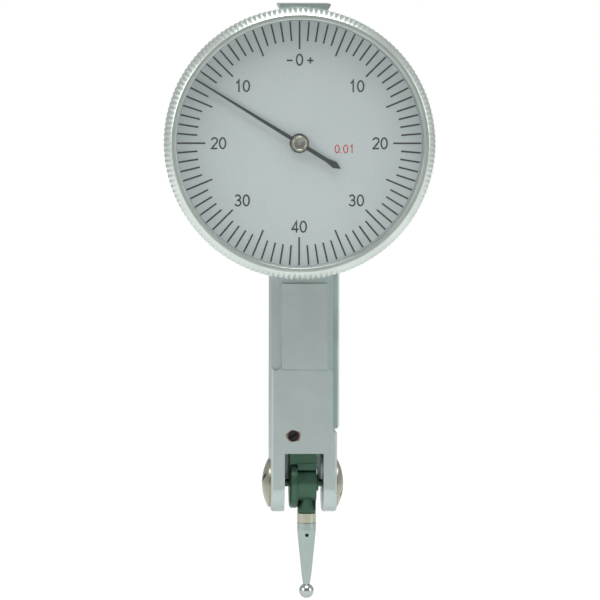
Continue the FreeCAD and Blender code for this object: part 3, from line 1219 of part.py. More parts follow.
# ---- stylus group --------------------------------------------------------------------------------------
def stylus_holder():
    """Blackened knuckle that swivels on the shaft by friction and takes the stylus."""
    disc = rod(X_AXIS, Vector(HOLDER_LEFT, PIVOT_Y, PIVOT_Z), HOLDER_WIDTH, HOLDER_DISC_RADIUS)
    stem = turned(Z_AXIS, X_AXIS, Vector(STYLUS_X, PIVOT_Y, 0), [
        (PIVOT_Z, 0),
        (PIVOT_Z, HOLDER_WIDTH / 2),
        (HOLDER_BOTTOM + RAIL_CHAMFER / 2, HOLDER_WIDTH / 2),
        (HOLDER_BOTTOM, HOLDER_WIDTH / 2 - RAIL_CHAMFER / 2),
        (HOLDER_BOTTOM, 0),
    ])
    shaft = rod(X_AXIS, Vector(HOLDER_LEFT - CUT_PAST, PIVOT_Y, PIVOT_Z), HOLDER_WIDTH + 2 * CUT_PAST,
                SHAFT_RADIUS + RUNNING_FIT)
    tapped = rod(Z_AXIS, Vector(STYLUS_X, PIVOT_Y, HOLDER_BOTTOM - CUT_PAST),
                 CUT_PAST + STYLUS_STUD_LENGTH + COVER_FIT, STYLUS_STUD_RADIUS + SEAT_FIT)
    return drilled(fused([disc, stem]), [shaft, tapped])


def stylus():
    """Tapered contact arm with a threaded stud, a gripping band and a spanner hole."""
    top = HOLDER_BOTTOM - SEAT_FIT
    band = top - STYLUS_BAND_LENGTH
    groove = STYLUS_BAND_GROOVE
    knee = PIVOT_Z - STYLUS_KNEE_BELOW_PIVOT
    neck = BALL_Z + math.sqrt(BALL_RADIUS ** 2 - STYLUS_NECK_RADIUS ** 2)
    profile = [
        (top + STYLUS_STUD_LENGTH, 0),
        (top + STYLUS_STUD_LENGTH, STYLUS_STUD_RADIUS - groove),
        (top + STYLUS_STUD_LENGTH - groove, STYLUS_STUD_RADIUS),
        (top, STYLUS_STUD_RADIUS),
        (top, STYLUS_RADIUS - groove),
        (top - groove, STYLUS_RADIUS),
        (band + groove, STYLUS_RADIUS),
        (band, STYLUS_RADIUS - groove),
        (band - groove, STYLUS_RADIUS),
        (top - STYLUS_BARREL_LENGTH, STYLUS_RADIUS),
        (knee, STYLUS_KNEE_RADIUS),
        (neck, STYLUS_NECK_RADIUS),
        (BALL_Z, STYLUS_NECK_RADIUS),
        (BALL_Z, 0),
    ]
    arm = turned(Z_AXIS, X_AXIS, Vector(STYLUS_X, PIVOT_Y, 0), profile)
    seat = Part.makeSphere(BALL_RADIUS + SEAT_FIT, Vector(STYLUS_X, PIVOT_Y, BALL_Z))
    reach = STYLUS_RADIUS + CUT_PAST
    tommy = rod(Y_AXIS, Vector(STYLUS_X, PIVOT_Y - reach, PIVOT_Z - STYLUS_TOMMY_BELOW_PIVOT), 2 * reach,
                STYLUS_TOMMY_RADIUS)
    return drilled(arm, [seat, tommy])


def contact_ball():
    """Hard ball at the end of the stylus."""
    return Part.makeSphere(BALL_RADIUS, Vector(STYLUS_X, PIVOT_Y, BALL_Z))


NODES = {
    "body_housing": body_housing,
    "rear_cover": rear_cover,
    "rear_cover_screws": rear_cover_screws,
    "bezel_ring": bezel_ring,
    "bezel_spring_wire": bezel_spring_wire,
    "crystal": crystal,
    "crystal_spacer_ring": crystal_spacer_ring,
    "dial_plate": dial_plate,
    "dial_retaining_ring": dial_retaining_ring,
    "movement_plate": movement_plate,
    "movement_plate_screws": movement_plate_screws,
    "centre_bridge": centre_bridge,
    "centre_bridge_screw": centre_bridge_screw,
    "centre_jewels": centre_jewels,
    "crown_jewels": crown_jewels,
    "hairspring": hairspring,
    "hairspring_stud": hairspring_stud,
    "hairspring_collet": hairspring_collet,
    "centre_arbor": centre_arbor,
    "hand": hand,
    "hand_hub": hand_hub,
    "crown_wheel": crown_wheel,
    "crown_arbor": crown_arbor,
    "sector_blade": sector_blade,
    "sector_rivets": sector_rivets,
    "lever_block": lever_block,
    "pivot_shaft": pivot_shaft,
    "friction_washer": friction_washer,
    "shaft_collar": shaft_collar,
    "pivot_screw_left": pivot_screw_left,
    "pivot_screw_right": pivot_screw_right,
    "set_screw": set_screw,
    "stylus_holder": stylus_holder,
    "stylus": stylus,
    "contact_ball": contact_ball,
}


def main():
    """Write one STEP file for each node."""
    os.makedirs("parts", exist_ok=True)
    for name, make in NODES.items():
        shape = make()
        shape.exportStep("parts/" + name + ".step")
        print(name, "solids", len(shape.Solids), "volume %.3f" % shape.Volume, "valid", shape.isValid())


main()
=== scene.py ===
import json
import math

import bmesh
import bpy
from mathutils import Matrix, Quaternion, Vector


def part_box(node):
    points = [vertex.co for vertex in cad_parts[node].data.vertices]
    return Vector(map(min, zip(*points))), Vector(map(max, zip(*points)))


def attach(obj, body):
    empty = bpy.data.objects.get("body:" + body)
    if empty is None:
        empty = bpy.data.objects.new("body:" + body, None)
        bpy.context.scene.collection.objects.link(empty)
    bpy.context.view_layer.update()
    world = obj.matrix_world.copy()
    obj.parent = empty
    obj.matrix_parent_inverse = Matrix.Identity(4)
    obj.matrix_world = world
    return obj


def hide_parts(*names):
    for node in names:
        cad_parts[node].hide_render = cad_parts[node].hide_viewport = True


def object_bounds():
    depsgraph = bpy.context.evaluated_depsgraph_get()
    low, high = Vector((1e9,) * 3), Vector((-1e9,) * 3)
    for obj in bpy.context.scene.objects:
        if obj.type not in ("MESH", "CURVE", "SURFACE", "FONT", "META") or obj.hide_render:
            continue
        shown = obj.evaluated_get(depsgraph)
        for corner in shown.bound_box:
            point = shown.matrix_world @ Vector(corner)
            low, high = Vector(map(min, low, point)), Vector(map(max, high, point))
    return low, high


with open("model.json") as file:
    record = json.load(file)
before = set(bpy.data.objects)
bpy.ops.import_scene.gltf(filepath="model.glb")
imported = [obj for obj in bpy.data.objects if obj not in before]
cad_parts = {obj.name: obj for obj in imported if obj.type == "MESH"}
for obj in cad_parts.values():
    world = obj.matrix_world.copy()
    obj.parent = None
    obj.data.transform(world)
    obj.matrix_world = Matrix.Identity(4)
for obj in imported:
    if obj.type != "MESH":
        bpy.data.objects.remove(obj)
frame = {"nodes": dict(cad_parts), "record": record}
nodes = frame["nodes"]
cad_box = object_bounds()

# ---- units and directions -----------------------------------------------------------------
MM = 0.001
UP = Vector((0, 0, 1))
DIAL_OUT = Vector((0, -1, 0))

# ---- places read from the frame ------------------------------------------------------------


def low(node):
    """Lowest corner of a CAD node, in metres."""
    return Vector(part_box(node)[0])


def high(node):
    """Highest corner of a CAD node, in metres."""
    return Vector(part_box(node)[1])


def middle(node):
    """Middle of a CAD node's box."""
    return (low(node) + high(node)) / 2


def size(node):
    """Size of a CAD node's box."""
    return high(node) - low(node)


BEZEL_RADIUS = size("bezel_ring").x / 2
BEZEL_FRONT = low("bezel_ring").y
BEZEL_REAR = high("bezel_ring").y
BEZEL_BORE = size("crystal").x / 2
SPACER_FRONT = low("crystal_spacer_ring").y
CRYSTAL_FRONT = low("crystal").y
DIAL_FACE = low("dial_plate").y

# ---- bezel ----------------------------------------------------------------------------------
LIP_COVER = 0.25 * MM
SPACER_REAR_WIDTH = 0.45 * MM
SPACER_FRONT_WIDTH = 0.3 * MM
BEZEL_CHAMFER = 0.9 * MM
BEZEL_REAR_CHAMFER = 0.35 * MM
BEZEL_EDGE_ROUND = 0.06 * MM
KNURL_TEETH = 160
KNURL_DEPTH = 0.12 * MM
KNURL_STEPS = 8              # mesh steps round one tooth
KNURL_SHARPNESS = 1.3
SPACER_EDGE_ROUND = 0.04 * MM

# ---- dial print ------------------------------------------------------------------------------
INK_HEIGHT = 0.012 * MM
DIVISIONS = 80
LONG_EVERY = 5               # each fifth line is a long one
TICK_OUTER = 16.25 * MM
SHORT_TICK_INNER = 13.6 * MM
LONG_TICK_INNER = 12.5 * MM
TICK_WIDTH = 0.23 * MM
FIGURE_HEIGHT = 1.6 * MM
FIGURE_RADIUS = 10.75 * MM
ZERO_HEIGHT = 11.1 * MM
FORTY_DROP = 11.1 * MM
SIGN_REACH = 1.4 * MM
UNIT_FIGURE_HEIGHT = 1.15 * MM
UNIT_PLACE = (6.0 * MM, -0.75 * MM)

# ---- hand's hub --------------------------------------------------------------------------------
HUB_BEVEL = 0.22 * MM
HUB_DISH = 0.06 * MM
HUB_BORE = 0.27 * MM
HUB_EDGE_ROUND = 0.03 * MM

# ---- pivot, set screw and stylus ----------------------------------------------------------------
PIVOT = Vector((0, middle("pivot_shaft").y, middle("pivot_shaft").z))
BLOCK_HALF_DEPTH = 2.1 * MM
HOLDER_CLEARANCE = 0.06 * MM
LIP_OVERLAP = 0.2 * MM
LIP_LOW = 1.85 * MM          # above the pivot, clear of the stylus at the ends of its swing
LIP_STEPS = 24
WASHER_RADIUS = 3.3 * MM
WASHER_THICKNESS = 0.13 * MM
FRONT_OF_BAR = -10.0 * MM
LACQUER_FILM = 0.012 * MM
LACQUER_REACH = 0.8 * MM
LACQUER_FRONT = 1.1          # the film's front and rear edges, in shares of its reach
LACQUER_REAR = 1.12
LACQUER_WIDER = 0.11
LACQUER_RAGGED = 0.05
LACQUER_PHASE = 1.0
STYLUS_BAND = 1.3 * MM
STYLUS_BAND_SOFT = 0.1 * MM
TOMMY_HOLE_DROP = 7.0 * MM
TOMMY_HOLE_RADIUS = 0.235 * MM
TOMMY_HOLE_DEPTH = 0.3 * MM

# ---- edges of the CAD nodes, widths in millimetres ----------------------------------------------
EDGE_BREAKS = {
    "body_housing": 0.08,
    "rear_cover": 0.06,
    "hand": 0.03,
    "lever_block": 0.06,
    "stylus_holder": 0.06,
    "stylus": 0.03,
}
EDGE_ANGLE = math.radians(28.0)
EDGE_STEPS = 2

# ---- camera and stage ---------------------------------------------------------------------------
CAMERA_AZIMUTH = math.radians(-2.6)
CAMERA_ELEVATION = math.radians(3.35)
CAMERA_ROLL = math.radians(0.12)
CAMERA_DISTANCE = 850 * MM
VIEW_WIDTH = 79.576 * MM     # across the picture at the bezel's front
SENSOR = 36.0
AIM = Vector((-0.02 * MM, BEZEL_FRONT, -20.68 * MM))
CLIP_START = 50 * MM
CLIP_END = 20000 * MM
FLOOR_DROP = 14 * MM
FLOOR_RADIUS = 420 * MM
FLOOR_STEPS = 96
FLOOR_GREY = 0.82
FLOOR_ROUGHNESS = 0.9
FLOOR_WHITE = 1.06
FLOOR_WHITE_SHARE = 0.9
WORLD_WHITE_SHARE = 1.0
WORLD_WHITE = 1.0
SIDE_WALL_GREY = 0.62
# direction from the instrument, the cosines between which the wall fades in, and its grey
WALLS = [
    ((0, -1, 0), 0.35, 0.93, 0.36),
    ((0, 1, 0), 0.3, 0.9, 0.5),
    ((0, 0, -1), 0.35, 0.9, 0.4),
]
LAMP_TARGET = (0, 0, -0.02)
# name, place and width in metres, power in watts
LAMPS = [
    ("lamp_top", (0.0, -0.3, 0.75), 0.6, 6.0),
    ("lamp_left", (-0.8, -0.45, 0.3), 0.55, 3.4),
    ("lamp_right", (0.85, -0.4, 0.2), 0.5, 2.2),
]

# ---- materials ------------------------------------------------------------------------------
CHROME = (0.455, 0.53, 0.515)
STEEL = (0.60, 0.62, 0.60)
WARM_STEEL = (0.36, 0.36, 0.28)
BLACKENED = (0.06, 0.125, 0.085)
STRAW = (0.44, 0.45, 0.35)
NOISE_LOW = 0.3              # the part of a noise's range that is spread over two tones
NOISE_HIGH = 0.7
CLOUD_SIZE = 25              # how much larger a metal's clouds are than its grain
GLOSS_VARY = 0.15
TURNING_LINES = 9.0          # to a millimetre
TURNING_CLOUD = 0.25
TURNING_VARY = 0.05
TURNING_GLOSS = (0.85, 1.2)
TURNING_RELIEF = 0.003
GLASS_TONE = (0.9, 0.95, 0.94)
GLASS_MIRROR = 0.07
GLASS_CLOUD = 0.15
GLASS_ROUGHNESS = (0.02, 0.05)
INK_GRAIN = 4.0
INK_VARY = 0.2
INK_ROUGHNESS = 0.55
DIAL_GRAIN = 9.0
DIAL_GRAIN_ROUGHNESS = 0.7
DIAL_DARK = (0.46, 0.515, 0.52)
DIAL_PALE = (0.57, 0.63, 0.63)
DIAL_METALLIC = 0.35
DIAL_ROUGHNESS = (0.42, 0.56)
DIAL_RELIEF = 0.002
RUBY_GRAIN = 2.0
RUBY_DARK = (0.42, 0.01, 0.05)
RUBY_PALE = (0.62, 0.03, 0.09)
RUBY_ROUGHNESS = 0.08
RUBY_COAT = 0.6
STYLUS_TONE = (0.34, 0.41, 0.385)
STYLUS_ROUGHNESS = 0.2


def new_material(name):
    """A new node material with its tree and its shader."""
    mat = bpy.data.materials.new(name)
    mat.use_nodes = True
    tree = mat.node_tree
    return mat, tree, tree.nodes["Principled BSDF"]


def noise(tree, scale, stretch=(1, 1, 1), detail=3.0, rough=0.55):
    """Noise in the object's own coordinates; scale is in bumps per millimetre."""
    coords = tree.nodes.new("ShaderNodeTexCoord")
    mapping = tree.nodes.new("ShaderNodeMapping")
    mapping.inputs["Scale"].default_value = [s / MM for s in stretch]
    tex = tree.nodes.new("ShaderNodeTexNoise")
    tex.inputs["Scale"].default_value = scale
    tex.inputs["Detail"].default_value = detail
    tex.inputs["Roughness"].default_value = rough
    tree.links.new(coords.outputs["Object"], mapping.inputs["Vector"])
    tree.links.new(mapping.outputs["Vector"], tex.inputs["Vector"])
    return tex.outputs["Fac"]


def lathe_lines(tree, per_mm):
    """Noise that depends only on the distance from the dial's axis, as turning marks do."""
    coords = tree.nodes.new("ShaderNodeTexCoord")
    flatten = tree.nodes.new("ShaderNodeVectorMath")
    flatten.operation = "MULTIPLY"
    flatten.inputs[1].default_value = (1, 0, 1)
    length = tree.nodes.new("ShaderNodeVectorMath")
    length.operation = "LENGTH"
    tex = tree.nodes.new("ShaderNodeTexNoise")
    tex.noise_dimensions = "1D"
    tex.inputs["Scale"].default_value = per_mm / MM
    tex.inputs["Detail"].default_value = 2.0
    tree.links.new(coords.outputs["Object"], flatten.inputs[0])
    tree.links.new(flatten.outputs[0], length.inputs[0])
    tree.links.new(length.outputs["Value"], tex.inputs["W"])
    return tex.outputs["Fac"]


def spread(tree, fac, low_value, high_value):
    """Maps a 0..1 factor to a range, for a roughness."""
    node = tree.nodes.new("ShaderNodeMapRange")
    node.inputs["From Min"].default_value = NOISE_LOW
    node.inputs["From Max"].default_value = NOISE_HIGH
    node.inputs["To Min"].default_value = low_value
    node.inputs["To Max"].default_value = high_value
    tree.links.new(fac, node.inputs["Value"])
    return node.outputs["Result"]


def tint(tree, fac, dark, pale):
    """Colour between two tones, by a factor."""
    ramp = tree.nodes.new("ShaderNodeValToRGB")
    ramp.color_ramp.elements[0].position = NOISE_LOW
    ramp.color_ramp.elements[0].color = (*dark, 1)
    ramp.color_ramp.elements[1].position = NOISE_HIGH
    ramp.color_ramp.elements[1].color = (*pale, 1)
    tree.links.new(fac, ramp.inputs["Fac"])
    return ramp.outputs["Color"]


def bump(tree, shader, fac, height_mm):
    """Bump of a real height from a factor."""
    node = tree.nodes.new("ShaderNodeBump")
    node.inputs["Strength"].default_value = 1.0
    node.inputs["Distance"].default_value = height_mm * MM
    tree.links.new(fac, node.inputs["Height"])
    tree.links.new(node.outputs["Normal"], shader.inputs["Normal"])


def scaled(colour, share):
    """A colour made lighter or darker."""
    return tuple(min(1.0, channel * share) for channel in colour)


def metal(name, colour, roughness, grain=6.0, stretch=(1, 1, 1), vary=0.05, relief=0.002, metallic=1.0):
    """Metal with a fine grain in its tone, its gloss and its relief."""
    mat, tree, shader = new_material(name)
    fac = noise(tree, grain, stretch)
    cloud = noise(tree, grain / CLOUD_SIZE, detail=4.0)
    tree.links.new(tint(tree, cloud, scaled(colour, 1 - vary), scaled(colour, 1 + vary)),
                   shader.inputs["Base Color"])
    gloss = spread(tree, fac, roughness * (1 - GLOSS_VARY), roughness * (1 + GLOSS_VARY))
    tree.links.new(gloss, shader.inputs["Roughness"])
    shader.inputs["Metallic"].default_value = metallic
    bump(tree, shader, fac, relief)
    return mat


def turned_metal(name, colour, roughness):
    """Metal with fine turning marks about the dial's axis."""
    mat, tree, shader = new_material(name)
    fac = lathe_lines(tree, TURNING_LINES)
    cloud = noise(tree, TURNING_CLOUD)
    tree.links.new(tint(tree, cloud, scaled(colour, 1 - TURNING_VARY), scaled(colour, 1 + TURNING_VARY)),
                   shader.inputs["Base Color"])
    tree.links.new(spread(tree, fac, *[roughness * share for share in TURNING_GLOSS]),
                   shader.inputs["Roughness"])
    shader.inputs["Metallic"].default_value = 1.0
    bump(tree, shader, fac, TURNING_RELIEF)
    return mat


def glass_material():
    """Clear window: a faint mirror over what lies behind it."""
    mat, tree, shader = new_material("crystal_clear")
    shader.inputs["Base Color"].default_value = (*GLASS_TONE, 1)
    shader.inputs["Metallic"].default_value = 1.0
    shader.inputs["Alpha"].default_value = GLASS_MIRROR
    fac = noise(tree, GLASS_CLOUD, detail=1.0)
    tree.links.new(spread(tree, fac, *GLASS_ROUGHNESS), shader.inputs["Roughness"])
    return mat


def ink_material(name, colour):
    """Printed ink, a little uneven."""
    mat, tree, shader = new_material(name)
    fac = noise(tree, INK_GRAIN)
    tree.links.new(tint(tree, fac, scaled(colour, 1 - INK_VARY), scaled(colour, 1 + INK_VARY)),
                   shader.inputs["Base Color"])
    shader.inputs["Roughness"].default_value = INK_ROUGHNESS
    return mat


def dial_material():
    """Silver dial lacquer: very fine sparkle over a soft metallic grey."""
    mat, tree, shader = new_material("dial_silver")
    fine = noise(tree, DIAL_GRAIN, detail=4.0, rough=DIAL_GRAIN_ROUGHNESS)
    tree.links.new(tint(tree, fine, DIAL_DARK, DIAL_PALE), shader.inputs["Base Color"])
    shader.inputs["Metallic"].default_value = DIAL_METALLIC
    tree.links.new(spread(tree, fine, *DIAL_ROUGHNESS), shader.inputs["Roughness"])
    bump(tree, shader, fine, DIAL_RELIEF)
    return mat


def ruby_material():
    """Polished synthetic ruby of the bearing jewels."""
    mat, tree, shader = new_material("jewel_ruby")
    fac = noise(tree, RUBY_GRAIN)
    tree.links.new(tint(tree, fac, RUBY_DARK, RUBY_PALE), shader.inputs["Base Color"])
    shader.inputs["Roughness"].default_value = RUBY_ROUGHNESS
    shader.inputs["Coat Weight"].default_value = RUBY_COAT
    return mat


def stylus_material():
    """Polished steel, turning to a warm straw band at the shoulder under the holder."""
    mat = metal("stylus_steel", STYLUS_TONE, STYLUS_ROUGHNESS, grain=5.0, stretch=(0.1, 0.1, 1))
    tree = mat.node_tree
    shader = tree.nodes["Principled BSDF"]
    plain = shader.inputs["Base Color"].links[0].from_socket
    coords = tree.nodes.new("ShaderNodeTexCoord")
    split = tree.nodes.new("ShaderNodeSeparateXYZ")
    edge = tree.nodes.new("ShaderNodeMapRange")
    shoulder = low("stylus_holder").z - STYLUS_BAND
    edge.inputs["From Min"].default_value = shoulder
    edge.inputs["From Max"].default_value = shoulder + STYLUS_BAND_SOFT
    mix = tree.nodes.new("ShaderNodeMix")
    mix.data_type = "RGBA"
    mix.inputs["B"].default_value = (*STRAW, 1)
    tree.links.new(coords.outputs["Object"], split.inputs[0])
    tree.links.new(split.outputs["Z"], edge.inputs["Value"])
    tree.links.new(edge.outputs["Result"], mix.inputs["Factor"])
    tree.links.new(plain, mix.inputs["A"])
    tree.links.new(mix.outputs["Result"], shader.inputs["Base Color"])
    return mat


MATERIALS = {
    "matt_chrome": metal("satin_chrome", CHROME, 0.36, grain=7.0, vary=0.04, relief=0.0025),
    "bezel_chrome": turned_metal("bezel_chrome", (0.60, 0.66, 0.62), 0.30),
    "cover_steel": metal("cover_brushed", STEEL, 0.32, grain=5.0, stretch=(1, 1, 0.06), relief=0.004),
    "screw_steel": metal("screw_steel", WARM_STEEL, 0.3, grain=3.0, relief=0.002),
    "window": glass_material(),
    "spacer_metal": turned_metal("spacer_metal", (0.50, 0.55, 0.53), 0.42),
    "dial_silver": dial_material(),
    "spring_steel": metal("spring_steel", (0.45, 0.46, 0.47), 0.25),
    "plate_brass": metal("plate_brass", (0.78, 0.62, 0.30), 0.28, grain=5.0, stretch=(0.1, 1, 1)),
    "jewel_red": ruby_material(),
    "hairspring_blue": metal("hairspring_blue", (0.10, 0.16, 0.38), 0.25),
    "arbor_steel": metal("arbor_steel", (0.62, 0.64, 0.66), 0.18, grain=4.0),
    "hand_black": metal("hand_black", (0.008, 0.014, 0.014), 0.6, grain=6.0, vary=0.2, metallic=0.0),
    "hub_metal": turned_metal("hub_metal", (0.36, 0.37, 0.30), 0.22),
    "blackened_steel": metal("blackened_steel", BLACKENED, 0.38, grain=5.0, vary=0.15, metallic=0.85),
    "lacquered_grub": metal("lacquered_grub", (0.035, 0.033, 0.028), 0.45, grain=2.0, vary=0.35,
                            metallic=0.6),
    "stylus_steel": stylus_material(),
    "ball_carbide": metal("ball_carbide", (0.44, 0.49, 0.47), 0.12, grain=2.0, vary=0.03),
}
INK = ink_material("dial_ink", (0.012, 0.015, 0.015))
RED_INK = ink_material("dial_red_ink", (0.42, 0.035, 0.03))
LACQUER = ink_material("red_lacquer", (0.16, 0.085, 0.07))


def dress_cad_nodes():
    """Every CAD node takes the material of its slot, but the pivot's shaft is blackened with its block."""
    slots = {part["node"]: part["material_slot"] for part in frame["record"]["subparts"]}
    slots["pivot_shaft"] = "blackened_steel"
    for name, node in nodes.items():
        node.data.materials.clear()
        node.data.materials.append(MATERIALS[slots[name]])


def break_edges(node, width_mm):
    """Small rounded edge on a CAD node, so that its edges catch the light."""
    mod = node.modifiers.new("edge_break", "BEVEL")
    mod.width = width_mm * MM
    mod.segments = EDGE_STEPS
    mod.limit_method = "ANGLE"
    mod.angle_limit = EDGE_ANGLE
    mod.harden_normals = True
    mod.use_clamp_overlap = True


# ---- mesh helpers ----------------------------------------------------------------------------
CORNER_SHARE = 0.45          # the most of an edge that a rounded corner takes
CORNER_STEPS = 3
MERGE = 1e-9
NEARLY_UPRIGHT = 0.9
SHARP_DEG = 30.0             # an edge that turns by more than this stays sharp
KNURL_SHARP_DEG = 50.0
LATHE_STEPS = 192            # mesh steps round a turned piece
SMALL_LATHE_STEPS = 96
LACQUER_STEPS = 64
HOLE_STEPS = 32


def finish_mesh(name, bm, material, sharp_deg=SHARP_DEG):
    """Mesh object from a bmesh, smooth but for edges sharper than the given angle."""
    bmesh.ops.recalc_face_normals(bm, faces=bm.faces)
    for face in bm.faces:
        face.smooth = True
    for edge in bm.edges:
        if len(edge.link_faces) == 2:
            edge.smooth = edge.calc_face_angle(0.0) < math.radians(sharp_deg)
    mesh = bpy.data.meshes.new(name)
    bm.to_mesh(mesh)
    bm.free()
    mesh.materials.append(material)
    obj = bpy.data.objects.new(name, mesh)
    bpy.context.scene.collection.objects.link(obj)
    return obj


def axes_for(axis):
    """Two directions that span the plane square to an axis."""
    side = UP.cross(axis) if abs(axis.z) < NEARLY_UPRIGHT else Vector((1, 0, 0))
    side.normalize()
    return side, axis.cross(side)


def lathe(name, profile, material, centre=Vector((0, 0, 0)), axis=Vector((0, 1, 0)),
          segments=LATHE_STEPS, wave=None, sharp_deg=SHARP_DEG):
    """Turned piece: the profile is a closed list of (place along the axis, radius). wave(radius, share)
    gives a new radius for each share of a turn, for knurls."""
    first, second = axes_for(axis)
    bm = bmesh.new()
    rings = []
    for step in range(segments):
        turn = 2 * math.pi * step / segments
        out = first * math.cos(turn) + second * math.sin(turn)
        ring = []
        for along, radius in profile:
            bent = wave(radius, step / segments) if wave else radius
            ring.append(bm.verts.new(centre + axis * along + out * bent))
        rings.append(ring)
    count = len(profile)
    for step in range(segments):
        here, there = rings[step], rings[(step + 1) % segments]
        for index in range(count):
            after = (index + 1) % count
            bm.faces.new((here[index], here[after], there[after], there[index]))
    bmesh.ops.remove_doubles(bm, verts=bm.verts, dist=MERGE)
    return finish_mesh(name, bm, material, sharp_deg)


def rounded_profile(points, radius):
    """Closed profile with every corner rounded by a curve of about the given reach."""
    result = []
    count = len(points)
    for index in range(count):
        here = Vector(points[index])
        before = Vector(points[index - 1]) - here
        after = Vector(points[(index + 1) % count]) - here
        reach = min(radius, before.length * CORNER_SHARE, after.length * CORNER_SHARE)
        start = here + before.normalized() * reach
        end = here + after.normalized() * reach
        for step in range(CORNER_STEPS + 1):
            share = step / CORNER_STEPS
            point = start * (1 - share) ** 2 + here * 2 * share * (1 - share) + end * share ** 2
            result.append((point.x, point.y))
    return result


# ---- bezel, spacer and crystal -----------------------------------------------------------------


def knurl_wave(radius, share):
    """Serrations with slightly rounded tips, fading out down the two chamfers."""
    inner = BEZEL_RADIUS - KNURL_DEPTH
    if radius <= inner:
        return radius
    phase = (share * KNURL_TEETH) % 1.0
    rise = 1 - abs(2 * phase - 1)
    tooth = math.sin(rise * math.pi / 2) ** KNURL_SHARPNESS
    return min(radius, inner + KNURL_DEPTH * tooth)


def make_bezel():
    """Knurled bezel ring with its chamfers and lip."""
    lip = BEZEL_BORE - LIP_COVER
    outline = [
        (BEZEL_REAR, BEZEL_BORE),
        (BEZEL_REAR, BEZEL_RADIUS - BEZEL_REAR_CHAMFER),
        (BEZEL_REAR - BEZEL_REAR_CHAMFER, BEZEL_RADIUS),
        (BEZEL_FRONT + BEZEL_CHAMFER, BEZEL_RADIUS),
        (BEZEL_FRONT, BEZEL_RADIUS - BEZEL_CHAMFER),
        (BEZEL_FRONT, lip),
        (CRYSTAL_FRONT, lip),
        (CRYSTAL_FRONT, BEZEL_BORE),
    ]
    profile = rounded_profile(outline, BEZEL_EDGE_ROUND)
    ring = lathe("bezel_knurled", profile, MATERIALS["bezel_chrome"], wave=knurl_wave,
                 segments=KNURL_TEETH * KNURL_STEPS, sharp_deg=KNURL_SHARP_DEG)
    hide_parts("bezel_ring")
    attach(ring, "bezel")


def make_spacer():
    """Conical ring between dial and crystal."""
    outline = [
        (DIAL_FACE, BEZEL_BORE - SPACER_REAR_WIDTH),
        (DIAL_FACE, BEZEL_BORE),
        (SPACER_FRONT, BEZEL_BORE),
        (SPACER_FRONT, BEZEL_BORE - SPACER_FRONT_WIDTH),
    ]
    ring = lathe("spacer_cone", rounded_profile(outline, SPACER_EDGE_ROUND), MATERIALS["spacer_metal"])
    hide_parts("crystal_spacer_ring")
    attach(ring, "bezel")


# ---- dial print ------------------------------------------------------------------------------------


def dial_point(angle, radius):
    """Point on the dial, the angle clockwise from the top."""
    return Vector((radius * math.sin(angle), DIAL_FACE, radius * math.cos(angle)))


def make_graduations():
    """Eighty printed lines, each fifth one longer."""
    bm = bmesh.new()
    for index in range(DIVISIONS):
        angle = 2 * math.pi * index / DIVISIONS
        inner = LONG_TICK_INNER if index % LONG_EVERY == 0 else SHORT_TICK_INNER
        across = Vector((math.cos(angle), 0, -math.sin(angle))) * (TICK_WIDTH / 2)
        ends = [dial_point(angle, radius) for radius in (inner, TICK_OUTER)]
        base = [ends[0] - across, ends[0] + across, ends[1] + across, ends[1] - across]
        top = [point + DIAL_OUT * INK_HEIGHT for point in base]
        corners = [bm.verts.new(point) for point in base + top]
        bm.faces.new(corners[4:8])
        for side in range(4):
            after = (side + 1) % 4
            bm.faces.new((corners[side], corners[after], corners[after + 4], corners[side + 4]))
    lines = finish_mesh("dial_graduations", bm, INK)
    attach(lines, "bezel")


ARC_STEPS = 14
RING_STEPS = 32


def stroke_arc(centre, radii, start_deg, end_deg, steps=ARC_STEPS):
    """Points along an elliptic arc, in shares of a figure's height."""
    points = []
    for step in range(steps + 1):
        turn = math.radians(start_deg + (end_deg - start_deg) * step / steps)
        points.append((centre[0] + radii[0] * math.cos(turn), centre[1] + radii[1] * math.sin(turn)))
    return points


# Each figure is a list of pen strokes, in shares of its height, from its lower left corner.
STROKES = {
    "0": [stroke_arc((0.31, 0.5), (0.245, 0.44), 0, 360, RING_STEPS)],
    "1": [[(0.14, 0.73), (0.27, 0.82), (0.37, 0.97), (0.37, 0.0)]],
    "2": [stroke_arc((0.31, 0.71), (0.235, 0.235), 172, -28) + [(0.08, 0.06), (0.56, 0.06)]],
    "3": [stroke_arc((0.29, 0.725), (0.205, 0.215), 160, -90)
          + stroke_arc((0.29, 0.29), (0.24, 0.235), 88, -160)],
    "4": [[(0.43, 0.0), (0.43, 0.93), (0.06, 0.28), (0.6, 0.28)]],
    "-": [[(0.0, 0.44), (0.5, 0.44)]],
    "+": [[(0.0, 0.44), (0.52, 0.44)], [(0.26, 0.18), (0.26, 0.7)]],
    ".": [[(0.06, 0.0), (0.06, 0.13)]],
}
ADVANCE = {"-": 0.45, "+": 0.52, ".": 0.3}
FIGURE_ADVANCE = 0.68
FIGURE_WIDTH = 0.62
PEN_WIDTH = 0.135
SAME_PLACE = 0.1             # a stroke's ends nearer than this share of the pen are joined
LEAST_MITRE = 0.35


